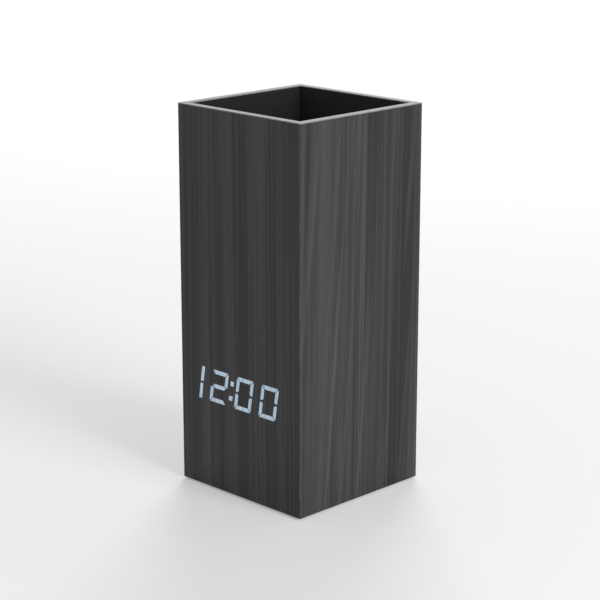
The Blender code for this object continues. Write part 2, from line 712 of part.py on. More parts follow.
def make_screw(name, place, head_radius, head_height, shank_radius, shank_length, axis, sign, material):
    """Make a screw whose head's under side is at its origin and whose shank runs towards sign."""
    profile = [
        (0, -sign * head_height),
        (head_radius, -sign * head_height),
        (head_radius, 0),
        (shank_radius, 0),
        (shank_radius, sign * (shank_length - shank_radius)),
        (shank_radius / 2, sign * shank_length),
        (0, sign * shank_length),
    ]
    screw = turned(name, profile, COARSE_SIDES, axis, place)
    for index, (width, height) in enumerate(((DRIVE_WIDTH, DRIVE_SLOT), (DRIVE_SLOT, DRIVE_WIDTH))):
        outline = rectangle(width, height)
        top = -sign * (head_height + CUT_OVERRUN)
        floor = -sign * (head_height - DRIVE_DEPTH)
        slot_name = "cut_" + name + "_" + str(index + 1)
        cut(screw, prism(slot_name, outline, min(top, floor), max(top, floor), axis, place))
    shade_round(screw)
    return use_material(screw, material)


def make_display_screws(material):
    seat = DISPLAY_BOARD_BACK + SEAT_GAP
    length = seat + WELL_HALF + DISPLAY_SCREW_BITE
    for index, (x, z) in enumerate(display_screw_places()):
        name = "display_screw_" + str(index + 1)
        size = (SMALL_HEAD_RADIUS, SMALL_HEAD_HEIGHT, SMALL_SHANK_RADIUS, length)
        make_screw(name, (x, seat, z), *size, "Y", -1, material)


def button_places():
    return [(BUTTON_PITCH * step, BUTTON_ROW) for step in (-1, 0, 1)]


def eco_place():
    return (ECO_OFFSET, LOWER_ROW)


def inlet_place():
    return (INLET_OFFSET, LOWER_ROW)


def microphone_place():
    return (0, LOWER_ROW + MICROPHONE_RISE)


def sensor_place():
    return (0, LOWER_ROW - SENSOR_DROP)


def boss_places():
    return [(sign * BOSS_OFFSET, BEZEL_CENTRE + BOSS_RISE) for sign in (-1, 1)]


def make_bezel(material):
    """Make the control unit's plate, with its pocket, its openings and the bosses of the main board."""
    centre = (0, BEZEL_CENTRE)
    flange = round_rectangle(BEZEL_WIDTH, BEZEL_HEIGHT, BEZEL_RADIUS, centre)
    bezel = prism("control_bezel", flange, FLANGE_BACK, BEZEL_FACE, "Y")
    tray = round_rectangle(TRAY_WIDTH, TRAY_HEIGHT, TRAY_RADIUS, centre)
    fuse(bezel, prism("add_tray", tray, TRAY_BACK, FLANGE_BACK + BEZEL_HEAD_HEIGHT, "Y"))
    low_boss = MAIN_BOARD_FACE + SEAT_GAP
    for index, place in enumerate(boss_places()):
        boss = circle(BOSS_RADIUS, COARSE_SIDES, place)
        fuse(bezel, prism("add_boss_" + str(index + 1), boss, low_boss, FLANGE_BACK, "Y"))
    pocket = round_rectangle(POCKET_WIDTH, POCKET_HEIGHT, POCKET_RADIUS, centre)
    cut(bezel, prism("cut_pocket", pocket, POCKET_FACE, BEZEL_FACE + CUT_OVERRUN, "Y"))
    cut(bezel, *bezel_holes())
    return use_material(bezel, material)


def bezel_holes():
    """Make the cutters of all the holes in the control unit's plate."""
    low = TRAY_BACK - CUT_OVERRUN
    high = BEZEL_FACE + CUT_OVERRUN
    tools = []
    for name, place in zip(BUTTON_NAMES, button_places()):
        hole = circle(BUTTON_RADIUS + SEAT_GAP, FINE_SIDES, place)
        tools.append(prism("cut_cap_" + name, hole, low, high, "Y"))
    eco_width = ECO_KNOB_WIDTH + ECO_TRAVEL + 2 * SEAT_GAP
    eco = rectangle(eco_width, ECO_KNOB_HEIGHT + 2 * SEAT_GAP, eco_place())
    tools.append(prism("cut_eco_slot", eco, low, high, "Y"))
    inlet_size = (INLET_WIDTH + 2 * SEAT_GAP, INLET_HEIGHT + 2 * SEAT_GAP, INLET_RADIUS + SEAT_GAP)
    tools.append(prism("cut_inlet", round_rectangle(*inlet_size, inlet_place()), low, high, "Y"))
    ear = circle(MICROPHONE_HOLE_RADIUS, COARSE_SIDES, microphone_place())
    tools.append(prism("cut_microphone_hole", ear, low, high, "Y"))
    sensor_x, sensor_z = sensor_place()
    for index in range(VENT_COUNT):
        level = sensor_z + (index - (VENT_COUNT - 1) / 2) * VENT_PITCH
        vent = rectangle(VENT_WIDTH, VENT_HEIGHT, (sensor_x, level))
        tools.append(prism("cut_vent_" + str(index + 1), vent, low, high, "Y"))
    ledge = BEZEL_FACE - BEZEL_HEAD_SINK - BEZEL_HEAD_HEIGHT - SEAT_GAP
    for index, sign in enumerate((-1, 1)):
        place = (sign * BEZEL_SCREW_OFFSET, BEZEL_CENTRE)
        number = str(index + 1)
        shank = circle(SMALL_SHANK_RADIUS + SEAT_GAP, COARSE_SIDES, place)
        head = circle(SMALL_HEAD_RADIUS + SEAT_GAP, COARSE_SIDES, place)
        tools.append(prism("cut_bezel_shank_" + number, shank, low, high, "Y"))
        tools.append(prism("cut_bezel_head_" + number, head, ledge, high, "Y"))
    pilot_top = MAIN_BOARD_FACE + SEAT_GAP + BOARD_SCREW_BITE + SEAT_GAP
    for index, place in enumerate(boss_places()):
        pilot = circle(SMALL_SHANK_RADIUS + SEAT_GAP, COARSE_SIDES, place)
        tools.append(prism("cut_boss_pilot_" + str(index + 1), pilot, MAIN_BOARD_FACE, pilot_top, "Y"))
    return tools


def make_bezel_screws(material):
    seat = BEZEL_FACE - BEZEL_HEAD_SINK - BEZEL_HEAD_HEIGHT
    size = (SMALL_HEAD_RADIUS, BEZEL_HEAD_HEIGHT, SMALL_SHANK_RADIUS, BEZEL_SCREW_LENGTH)
    for index, sign in enumerate((-1, 1)):
        place = (sign * BEZEL_SCREW_OFFSET, seat, BEZEL_CENTRE)
        make_screw("bezel_screw_" + str(index + 1), place, *size, "Y", -1, material)


def make_main_board(material):
    """Make the main circuit board, held by two screws on the bezel's bosses."""
    outline = rectangle(MAIN_BOARD_WIDTH, MAIN_BOARD_HEIGHT, (0, BEZEL_CENTRE))
    board = prism("main_pcb", outline, MAIN_BOARD_BACK, MAIN_BOARD_FACE, "Y")
    for index, place in enumerate(boss_places()):
        hole = circle(SMALL_SHANK_RADIUS + SEAT_GAP, COARSE_SIDES, place)
        low = MAIN_BOARD_BACK - CUT_OVERRUN
        cut(board, prism("cut_main_board_" + str(index + 1), hole, low, MAIN_BOARD_FACE + CUT_OVERRUN, "Y"))
    return use_material(board, material)


def make_board_screws(material):
    seat = MAIN_BOARD_BACK - SEAT_GAP
    length = MAIN_BOARD_FACE + SEAT_GAP + BOARD_SCREW_BITE - seat
    size = (SMALL_HEAD_RADIUS, SMALL_HEAD_HEIGHT, SMALL_SHANK_RADIUS, length)
    for index, (x, z) in enumerate(boss_places()):
        make_screw("pcb_screw_" + str(index + 1), (x, seat, z), *size, "Y", 1, material)


def make_buttons(cap_material, body_material, plunger_material):
    """Make each button's collared cap, the switch body behind it and the plunger that it presses."""
    top = POCKET_FACE + POCKET_DEPTH - BUTTON_SINK
    collar_top = TRAY_BACK - SEAT_GAP
    collar_low = collar_top - BUTTON_COLLAR_HEIGHT
    plunger_top = collar_low - SOLDER_GAP
    plunger_low = plunger_top - PLUNGER_LENGTH
    switch_top = PART_FACE + SWITCH_HEIGHT
    for name, (x, z) in zip(BUTTON_NAMES, button_places()):
        place = (x, collar_low, z)
        profile = [
            (0, 0),
            (BUTTON_COLLAR_RADIUS, 0),
            (BUTTON_COLLAR_RADIUS, BUTTON_COLLAR_HEIGHT),
            (BUTTON_RADIUS, BUTTON_COLLAR_HEIGHT),
            (BUTTON_RADIUS, top - collar_low - BUTTON_DISH_DEPTH),
            (BUTTON_RADIUS - BUTTON_DISH_DEPTH, top - collar_low),
            (BUTTON_DISH_RADIUS, top - collar_low),
            (BUTTON_DISH_RADIUS / 2, top - collar_low - BUTTON_DISH_DEPTH),
            (0, top - collar_low - BUTTON_DISH_DEPTH),
        ]
        cap = turned("button_" + name, profile, FINE_SIDES, "Y", place)
        use_material(shade_round(cap), cap_material)
        square = rectangle(SWITCH_WIDTH, SWITCH_WIDTH, (x, z))
        switch = prism("switch_" + name, square, PART_FACE, switch_top, "Y")
        bore = circle(PLUNGER_RADIUS + SEAT_GAP, COARSE_SIDES, (x, z))
        floor = plunger_low - BUTTON_TRAVEL - SEAT_GAP
        cut(switch, prism("cut_switch_" + name, bore, floor, switch_top + CUT_OVERRUN, "Y"))
        use_material(switch, body_material)
        pin = circle(PLUNGER_RADIUS, COARSE_SIDES)
        plunger = prism("plunger_" + name, pin, 0, PLUNGER_LENGTH, "Y", (x, plunger_low, z))
        use_material(shade_round(plunger), plunger_material)


def make_eco_switch(body_material, knob_material):
    """Make the slide switch, whose knob starts at the end of its slot and slides towards +X."""
    x, z = eco_place()
    body_top = PART_FACE + ECO_BODY_DEPTH
    body_outline = rectangle(ECO_BODY_WIDTH, ECO_BODY_HEIGHT, (x, z))
    body = prism("eco_switch_body", body_outline, PART_FACE, body_top, "Y")
    slot_width = ECO_KNOB_WIDTH + ECO_TRAVEL + 2 * SEAT_GAP
    slot = rectangle(slot_width, ECO_KNOB_HEIGHT + 2 * SEAT_GAP, (x, z))
    slot_floor = body_top - ECO_KNOB_ENTRY - SEAT_GAP
    cut(body, prism("cut_eco_body", slot, slot_floor, body_top + CUT_OVERRUN, "Y"))
    use_material(body, body_material)
    start = (x - ECO_TRAVEL / 2, 0, z)
    low = body_top - ECO_KNOB_ENTRY
    high = BEZEL_FACE - ECO_KNOB_SINK
    knob = prism("eco_switch_knob", rectangle(ECO_KNOB_WIDTH, ECO_KNOB_HEIGHT), low, high, "Y", start)
    wing_top = TRAY_BACK - SEAT_GAP
    wing = rectangle(ECO_WING_WIDTH, ECO_WING_HEIGHT)
    fuse(knob, prism("add_eco_wing", wing, wing_top - ECO_WING_THICKNESS, wing_top, "Y", start))
    for index, step in enumerate((-1, 0, 1)):
        groove = rectangle(ECO_RIB_WIDTH / 2, ECO_KNOB_HEIGHT + ECO_RIB_WIDTH, (step * ECO_RIB_WIDTH, 0))
        name = "cut_eco_rib_" + str(index + 1)
        cut(knob, prism(name, groove, high - ECO_RIB_DEPTH, high + CUT_OVERRUN, "Y", start))
    use_material(knob, knob_material)


def make_inlet(material):
    """Make the power inlet, with its tongue standing in the cavity."""
    outer = round_rectangle(INLET_WIDTH, INLET_HEIGHT, INLET_RADIUS, inlet_place())
    mouth = POCKET_FACE - INLET_SINK
    inlet = prism("power_inlet", outer, PART_FACE, mouth, "Y")
    size = (INLET_WIDTH - 2 * INLET_WALL, INLET_HEIGHT - 2 * INLET_WALL, INLET_RADIUS - INLET_WALL)
    cavity = prism("cut_inlet_cavity", round_rectangle(*size, inlet_place()), mouth - INLET_CAVITY_DEPTH,
                   mouth + CUT_OVERRUN, "Y")
    tongue_outline = rectangle(INLET_TONGUE_WIDTH, INLET_TONGUE_THICKNESS, inlet_place())
    root = (PART_FACE + mouth - INLET_CAVITY_DEPTH) / 2
    tongue = prism("add_inlet_tongue", tongue_outline, root, mouth - INLET_TONGUE_SINK, "Y")
    cut(inlet, cavity)
    fuse(inlet, tongue)
    return use_material(inlet, material)


def make_microphone(material):
    outline = circle(MICROPHONE_RADIUS, FINE_SIDES, microphone_place())
    microphone = prism("microphone", outline, PART_FACE, PART_FACE + MICROPHONE_LENGTH, "Y")
    return use_material(shade_round(microphone), material)


def make_sensor(material):
    outline = circle(SENSOR_RADIUS, COARSE_SIDES, sensor_place())
    sensor = prism("temperature_sensor", outline, PART_FACE, PART_FACE + SENSOR_LENGTH, "Y")
    return use_material(shade_round(sensor), material)


def make_chip(material):
    place = (CHIP_OFFSET, BEZEL_CENTRE - CHIP_DROP)
    chip = prism("controller_chip", rectangle(CHIP_WIDTH, CHIP_WIDTH, place), PART_BACK - CHIP_THICKNESS,
                 PART_BACK, "Y")
    return use_material(chip, material)


def make_buzzer(material):
    """Make the alarm's sounder, with the sound hole in its face."""
    place = (BUZZER_OFFSET, BEZEL_CENTRE + BUZZER_RISE)
    face = PART_BACK - BUZZER_LENGTH
    buzzer = prism("buzzer", circle(BUZZER_RADIUS, FINE_SIDES, place), face, PART_BACK, "Y")
    hole = circle(BUZZER_HOLE_RADIUS, COARSE_SIDES, place)
    cut(buzzer, prism("cut_buzzer", hole, face - CUT_OVERRUN, face + BUZZER_HOLE_DEPTH, "Y"))
    return use_material(shade_round(buzzer), material)


def make_coin_cell(holder_material, cell_material):
    """Make the holder of the small cell that keeps the time, and the cell in its pocket."""
    place = (CELL_HOLDER_OFFSET, BEZEL_CENTRE - CELL_HOLDER_DROP)
    face = PART_BACK - CELL_HOLDER_DEPTH
    block = rectangle(CELL_HOLDER_WIDTH, CELL_HOLDER_HEIGHT, place)
    holder = prism("coin_cell_holder", block, face, PART_BACK, "Y")
    seat = PART_BACK - CELL_HOLDER_FLOOR
    pocket = circle(COIN_CELL_RADIUS + SEAT_GAP, FINE_SIDES, place)
    cut(holder, prism("cut_coin_pocket", pocket, face - CUT_OVERRUN, seat, "Y"))
    use_material(holder, holder_material)
    low = -SEAT_GAP - COIN_CELL_THICKNESS
    profile = [
        (0, low),
        (COIN_CELL_RADIUS - COIN_CELL_STEP, low),
        (COIN_CELL_RADIUS - COIN_CELL_STEP, low + COIN_CELL_STEP / 2),
        (COIN_CELL_RADIUS, low + COIN_CELL_STEP / 2),
        (COIN_CELL_RADIUS, -SEAT_GAP),
        (0, -SEAT_GAP),
    ]
    cell = turned("coin_cell", profile, FINE_SIDES, "Y", (place[0], seat, place[1]))
    use_material(shade_round(cell), cell_material)


def ribbon_strip_outline():
    """Return the ribbon's side view: a thin band that sags between its two plugs."""
    start = DISPLAY_BOARD_BACK + SOLDER_GAP + RIBBON_PLUG_DEPTH / 2
    end = PART_BACK - RIBBON_PLUG_DEPTH / 2
    level = BEZEL_CENTRE + RIBBON_RISE
    upper = []
    lower = []
    for step in range(RIBBON_STEPS + 1):
        share = step / RIBBON_STEPS
        across = start + (end - start) * share
        drop = RIBBON_SAG * math.sin(math.pi * share) ** 2
        upper.append((across, level - drop + RIBBON_THICKNESS / 2))
        lower.append((across, level - drop - RIBBON_THICKNESS / 2))
    return upper + lower[::-1]


def make_ribbon(material):
    """Make the flat cable that joins the two circuit boards, with a plug at each end."""
    low = RIBBON_OFFSET - RIBBON_WIDTH / 2
    ribbon = prism("ribbon_cable", ribbon_strip_outline(), low, low + RIBBON_WIDTH, "X")
    level = BEZEL_CENTRE + RIBBON_RISE
    plug = rectangle(RIBBON_PLUG_WIDTH, RIBBON_PLUG_HEIGHT, (RIBBON_OFFSET, level))
    front = DISPLAY_BOARD_BACK + SOLDER_GAP
    fuse(ribbon, prism("add_front_plug", plug, front, front + RIBBON_PLUG_DEPTH, "Y"))
    fuse(ribbon, prism("add_rear_plug", plug, PART_BACK - RIBBON_PLUG_DEPTH, PART_BACK, "Y"))
    return use_material(ribbon, material)


def make_base_cover(material):
    """Make the base plate with its battery box, foot seats, screw holes and hinge holes."""
    low = CASE_BOTTOM
    cover = prism("base_cover", rectangle(2 * BASE_HALF, 2 * BASE_HALF), low, BASE_TOP)
    box_length = BATTERY_LENGTH + 2 * BATTERY_BOX_WALL
    box_width = BATTERY_WIDTH + 2 * BATTERY_BOX_WALL
    box_top = BATTERY_TOP + BATTERY_BOX_WALL
    fuse(cover, prism("add_battery_box", rectangle(box_length, box_width), low + DOOR_THICKNESS, box_top))
    room = rectangle(BATTERY_LENGTH, BATTERY_WIDTH)
    cut(cover, prism("cut_battery_room", room, low - CUT_OVERRUN, BATTERY_TOP))
    for index, (sx, sy) in enumerate(corner_signs()):
        place = (sx * FOOT_OFFSET, sy * FOOT_OFFSET)
        number = str(index + 1)
        seat = circle(FOOT_RADIUS + SEAT_GAP, FINE_SIDES, place)
        head = circle(BASE_HEAD_RADIUS + SEAT_GAP, COARSE_SIDES, place)
        shank = circle(BASE_SHANK_RADIUS + SEAT_GAP, COARSE_SIDES, place)
        head_top = base_head_seat() + SEAT_GAP
        cut(cover, prism("cut_foot_seat_" + number, seat, low - CUT_OVERRUN, FOOT_SEAT))
        cut(cover, prism("cut_base_head_" + number, head, low - CUT_OVERRUN, head_top))
        cut(cover, prism("cut_base_shank_" + number, shank, low - CUT_OVERRUN, BASE_TOP + CUT_OVERRUN))
    pin_hole = circle(HINGE_PIN_RADIUS + SEAT_GAP, COARSE_SIDES, (HINGE_X, HINGE_Z))
    reach = BATTERY_WIDTH / 2 - SEAT_GAP + HINGE_PIN_LENGTH + SEAT_GAP
    cut(cover, prism("cut_hinge_holes", pin_hole, -reach, reach, "Y"))
    notch = circle(DOOR_NOTCH_RADIUS, FINE_SIDES, (BATTERY_LENGTH / 2, 0))
    cut(cover, prism("cut_finger_notch", notch, low - CUT_OVERRUN, low + DOOR_NOTCH_DEPTH))
    port = circle(LEAD_PORT_RADIUS, COARSE_SIDES, lead_start())
    cut(cover, prism("cut_lead_port", port, BATTERY_TOP - CUT_OVERRUN, box_top + CUT_OVERRUN))
    return use_material(cover, material)


def base_head_seat():
    """Return the height of the under side of the base screws' heads, which look down."""
    return FOOT_SEAT + GLUE_LINE + BASE_HEAD_HEIGHT


def make_base_screws(material):
    size = (BASE_HEAD_RADIUS, BASE_HEAD_HEIGHT, BASE_SHANK_RADIUS)
    length = BASE_TOP + SEAT_GAP + BASE_SCREW_BITE - base_head_seat()
    for index, (sx, sy) in enumerate(corner_signs()):
        place = (sx * FOOT_OFFSET, sy * FOOT_OFFSET, base_head_seat())
        make_screw("base_screw_" + str(index + 1), place, *size, length, "Z", 1, material)


def make_feet(material):
    """Make the four pads that cover the base's screws and stand a little proud of the base."""
    top = FOOT_SEAT - GLUE_LINE
    profile = [
        (0, 0),
        (FOOT_RADIUS - FOOT_EDGE_BREAK, 0),
        (FOOT_RADIUS, FOOT_EDGE_BREAK),
        (FOOT_RADIUS, top),
        (0, top),
    ]
    for index, (sx, sy) in enumerate(corner_signs()):
        place = (sx * FOOT_OFFSET, sy * FOOT_OFFSET, 0)
        foot = turned("foot_" + str(index + 1), profile, FINE_SIDES, "Z", place)
        use_material(shade_round(foot), material)


def cell_rows():
    """Return each cell's Y place and the end that its tip points to, in turn."""
    first = -(CELL_COUNT - 1) / 2 * CELL_PITCH
    return [(first + index * CELL_PITCH, 1 if index % 2 == 0 else -1) for index in range(CELL_COUNT)]


def make_cells(material):
    """Make the battery cells, laid side by side with alternate ends first."""
    half = CELL_LENGTH / 2
    body_end = half - CELL_TIP_LENGTH
    profile = [
        (0, -half),
        (CELL_RADIUS - CELL_EDGE_BREAK, -half),
        (CELL_RADIUS, -half + CELL_EDGE_BREAK),
        (CELL_RADIUS, body_end - CELL_EDGE_BREAK),
        (CELL_RADIUS - CELL_EDGE_BREAK, body_end),
        (CELL_TIP_RADIUS, body_end),
        (CELL_TIP_RADIUS, half),
        (0, half),
    ]
    for index, (y, sign) in enumerate(cell_rows()):
        facing = [(radius, sign * level) for radius, level in profile]
        place = (0, y, CELL_AXIS_HEIGHT)
        cell = turned("battery_cell_" + str(index + 1), facing, FINE_SIDES, "X", place)
        use_material(shade_round(cell), material)


def make_contact(name, rows, side, material):
    """Make one contact plate, with a spring for each cell's flat end and a stud for each tip."""
    wall = side * (BATTERY_LENGTH / 2 - GLUE_LINE)
    face = wall - side * CONTACT_THICKNESS
    first = min(y for y, sign in rows)
    last = max(y for y, sign in rows)
    outline = rectangle(last - first + CONTACT_WIDTH, CONTACT_HEIGHT, ((first + last) / 2, 0))
    place = (0, 0, CELL_AXIS_HEIGHT)
    contact = prism(name, outline, min(wall, face), max(wall, face), "X", place)
    end = side * (CELL_LENGTH / 2 + SEAT_GAP)
    root = (wall + face) / 2
    for index, (y, sign) in enumerate(rows):
        if sign == side:
            profile = [(0, root), (BUMP_RADIUS, root), (BUMP_RADIUS, end), (0, end)]
        else:
            profile = [(0, root), (SPRING_BASE_RADIUS, root), (SPRING_TIP_RADIUS, end), (0, end)]
        stud = turned("add_" + name + "_" + str(index + 1), profile, COARSE_SIDES, "X",
                      (0, y, CELL_AXIS_HEIGHT))
        fuse(contact, stud)
    return use_material(contact, material)


def make_contacts(material):
    """Make the plates that put the three cells in one chain."""
    first, second, third = cell_rows()
    make_contact("contact_negative", [first], -1, material)
    make_contact("contact_bridge_right", [first, second], 1, material)
    make_contact("contact_bridge_left", [second, third], -1, material)
    make_contact("contact_positive", [third], 1, material)


def lead_start():
    """Return where the battery lead leaves the battery box, above the first contact plate."""
    first_row = cell_rows()[0][0]
    return (-BATTERY_LENGTH / 2 + LEAD_PORT_RADIUS + GLUE_LINE, first_row)


def make_battery_lead(material):
    """Make the lead from the battery box up to the main board, as one tube along a smooth route."""
    x, y = lead_start()
    bottom = CELL_AXIS_HEIGHT + CONTACT_HEIGHT / 2 + SEAT_GAP
    board_low = BEZEL_CENTRE - MAIN_BOARD_HEIGHT / 2
    end = Vector((x + LEAD_STEP * 2, PART_BACK - SEAT_GAP, board_low + LEAD_STEP))
    start = Vector((x, y, bottom))
    rise = Vector((0, 0, (end.z - start.z)))
    reach = Vector((0, (end.y - start.y) / 2, 0))
    count = math.ceil((end - start).length / LEAD_STEP)
    curve = bpy.data.curves.new("battery_lead", "CURVE")
    curve.dimensions = "3D"
    curve.bevel_depth = LEAD_RADIUS
    curve.bevel_resolution = 2
    curve.use_fill_caps = True
    spline = curve.splines.new("POLY")
    spline.points.add(count)
    for index in range(count + 1):
        share = index / count
        rest = 1 - share
        point = (start * rest ** 3 + (start + rise) * 3 * rest ** 2 * share
                 + (end - reach) * 3 * rest * share ** 2 + end * share ** 3)
        spline.points[index].co = (*point, 1)
    lead = bpy.data.objects.new("battery_lead", curve)
    bpy.context.collection.objects.link(lead)
    curve.materials.append(material)


def make_battery_door(material):
    """Make the door with its hinge barrel and pins. Its origin is on the hinge line."""
    half_width = BATTERY_WIDTH / 2 - SEAT_GAP
    place = (HINGE_X, 0, HINGE_Z)
    length = BATTERY_LENGTH / 2 - SEAT_GAP - HINGE_X
    plate = [(0, -HINGE_BARREL_RADIUS), (length, -HINGE_BARREL_RADIUS),
             (length, -HINGE_BARREL_RADIUS + DOOR_THICKNESS), (0, -HINGE_BARREL_RADIUS + DOOR_THICKNESS)]
    door = prism("battery_door", plate, -half_width, half_width, "Y", place)
    barrel = circle(HINGE_BARREL_RADIUS, FINE_SIDES)
    fuse(door, prism("add_door_barrel", barrel, -half_width, half_width, "Y", place))
    reach = half_width + HINGE_PIN_LENGTH
    fuse(door, prism("add_door_pins", circle(HINGE_PIN_RADIUS, COARSE_SIDES), -reach, reach, "Y", place))
    under = -HINGE_BARREL_RADIUS
    for index in range(DOOR_RIB_COUNT):
        x = length - DOOR_RIB_INSET - index * DOOR_RIB_PITCH
        groove = rectangle(DOOR_RIB_WIDTH, DOOR_RIB_LENGTH, (x, 0))
        name = "cut_door_groove_" + str(index + 1)
        cut(door, prism(name, groove, under - CUT_OVERRUN, under + DOOR_RIB_DEPTH, "Z", place))
    return use_material(door, material)


def main():
    clear_scene()
    veneer = make_material("dark_veneer", (0.05, 0.05, 0.052), 0.55)
    fibreboard = make_material("fibreboard", (0.02, 0.019, 0.018), 0.8)
    edge = make_material("edge_band", (0.45, 0.45, 0.45), 0.5)
    glow = make_material("light_guide", (0.55, 0.68, 0.8), 0.4)
    reflector = make_material("reflector", (0.75, 0.75, 0.75), 0.5)
    laminate = make_material("circuit_board", (0.01, 0.09, 0.03), 0.5)
    black = make_material("black_plastic", (0.012, 0.012, 0.012), 0.5)
    white = make_material("white_plastic", (0.7, 0.7, 0.68), 0.5)
    steel = make_material("steel", (0.5, 0.5, 0.5), 0.3, 1.0)
    grey = make_material("grey_plastic", (0.2, 0.2, 0.2), 0.5)
    rubber = make_material("rubber", (0.02, 0.02, 0.02), 0.9)
    wire = make_material("red_wire", (0.4, 0.02, 0.02), 0.5)
    pine = make_material("pine", (0.5, 0.34, 0.18), 0.8)

    make_veneer_wrap(veneer)
    boards = make_boards(fibreboard)
    cut_display_window(boards["front"])
    cut_control_opening(boards["back"])
    make_rim(edge)
    make_well_floor(fibreboard)
    make_glue_blocks(pine)

    make_light_guide(glow)
    make_light_box(reflector)
    make_display_board(laminate)
    make_display_screws(steel)

    make_bezel(black)
    make_bezel_screws(steel)
    make_main_board(laminate)
    make_board_screws(steel)
    make_buttons(black, grey, white)
    make_eco_switch(grey, black)
    make_inlet(steel)
    make_microphone(grey)
    make_sensor(grey)
    make_chip(black)
    make_buzzer(black)
    make_coin_cell(black, steel)
    make_ribbon(grey)

    make_base_cover(black)
    make_base_screws(steel)
    make_feet(rubber)
    make_cells(grey)
    make_contacts(steel)
    make_battery_lead(wire)
    make_battery_door(black)


main()
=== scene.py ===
import math

import bpy
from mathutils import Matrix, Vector


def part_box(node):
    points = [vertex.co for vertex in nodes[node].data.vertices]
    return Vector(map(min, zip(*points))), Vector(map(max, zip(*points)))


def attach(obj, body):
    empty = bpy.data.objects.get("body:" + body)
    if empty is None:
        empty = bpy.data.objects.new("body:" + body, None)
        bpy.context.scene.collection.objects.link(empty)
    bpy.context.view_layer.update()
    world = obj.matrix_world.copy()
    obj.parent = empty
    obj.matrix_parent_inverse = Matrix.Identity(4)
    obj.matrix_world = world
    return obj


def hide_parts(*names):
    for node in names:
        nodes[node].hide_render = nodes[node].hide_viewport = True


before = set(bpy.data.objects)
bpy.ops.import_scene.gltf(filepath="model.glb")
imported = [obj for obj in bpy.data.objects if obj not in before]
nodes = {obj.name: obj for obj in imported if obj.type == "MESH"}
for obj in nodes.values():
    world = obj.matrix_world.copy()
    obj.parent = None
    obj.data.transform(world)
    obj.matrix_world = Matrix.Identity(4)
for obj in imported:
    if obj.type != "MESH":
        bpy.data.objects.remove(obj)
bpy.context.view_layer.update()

mm = 0.001


# Tools for materials

def hexColour(code):    # sRGB hex to the linear values that shaders take
    shares = [int(code[i:i + 2], 16) / 255 for i in (1, 3, 5)]
    linear = [c / 12.92 if c <= 0.04045 else ((c + 0.055) / 1.055) ** 2.4 for c in shares]
    return (*linear, 1.0)


def addNode(tree, kind, settings=None, links=None):    # one node, its settings and what feeds it
    node = tree.nodes.new("ShaderNode" + kind)
    for name, value in (settings or {}).items():
        if name == "stops":    # a ramp's places and colours
            while len(node.color_ramp.elements) < len(value):
                node.color_ramp.elements.new(0.5)
            for element, (place, code) in zip(node.color_ramp.elements, value):
                element.position = place
                element.color = hexColour(code)
        elif isinstance(name, int) or name in node.inputs:
            node.inputs[name].default_value = hexColour(value) if isinstance(value, str) else value
        else:
            setattr(node, name, value)
    for name, source in (links or {}).items():
        tree.links.new(getattr(source, "outputs", [source])[0], node.inputs[name])
    return node


def newMaterial(name):    # the material, its tree and the object coordinates that its patterns read
    material = bpy.data.materials.new(name)
    material.use_nodes = True
    tree = material.node_tree
    tree.nodes.clear()
    return material, tree, addNode(tree, "TexCoord").outputs["Object"]


noiseSpan = (0.3, 0.7)    # where nearly all of a noise lies


def toMetres(*lengths):    # lengths given in mm
    return [length * mm for length in lengths]


def grainScale(*edges):    # a texture mapping, which divides by one grain's edges in mm
    return {"vector_type": "TEXTURE", "Scale": toMetres(*edges)}


def paint(material, *names):    # gives CAD nodes their material
    for name in names:
        data = nodes[name].data
        data.materials.clear()
        data.materials.append(material)


# Printed PVC wood film, embossed: a dark charcoal ash whose grain runs straight up the front and
# back, and leans a little on the sides, with broad pale streaks, as on a board sawn off its grain.
veneerValues = {
    "stops": ((0.41, "#151516"), (0.5, "#272728"), (0.59, "#3a3a3c")),
    "streak": "#515256",
    "pore": "#0f0f10",
    "wornAndHighlight": "#626263",
    "fineShare": 0.4,
    "patterns": {    # a grain's width, depth and length in mm, lean in degrees, detail, and shift in mm
        "fine": ((0.9, 0.9, 240), 0.5, 3.0, 0),
        "broad": ((6, 6, 400), 1.5, 2.0, 0),
        "leaning": ((4.5, 4.5, 170), 5.0, 2.0, 11),
        "straight": ((1.8, 1.8, 340), 0.5, 1.0, 0),
        "pores": ((0.35, 0.35, 10), 0.0, 1.0, 0),
        "rubbingAndHighlight": ((2.5, 2.5, 9), 0.0, 3.0, 0),
    },
    "shows": {    # where on its scale a pattern starts and is full, and how strong it is then
        "leaning": (0.52, 0.72, 0.6),
        "straight": (0.54, 0.74, 0.4),
        "pores": (0.6, 0.72, 0.5),
        "rubbingAndHighlight": (0.42, 0.62, 1.0),
    },
    "corner": (32.5, 33.1, 0.8),    # from and to in mm, and how strongly the corners are worn and lit by a painted highlight
    "sheen": (0.4, 0.52),
    "poreDepth": 0.8,
    "reliefDepth": 0.06,
    "specular": 0.38,    # the embossing swallows some of the reflection
}


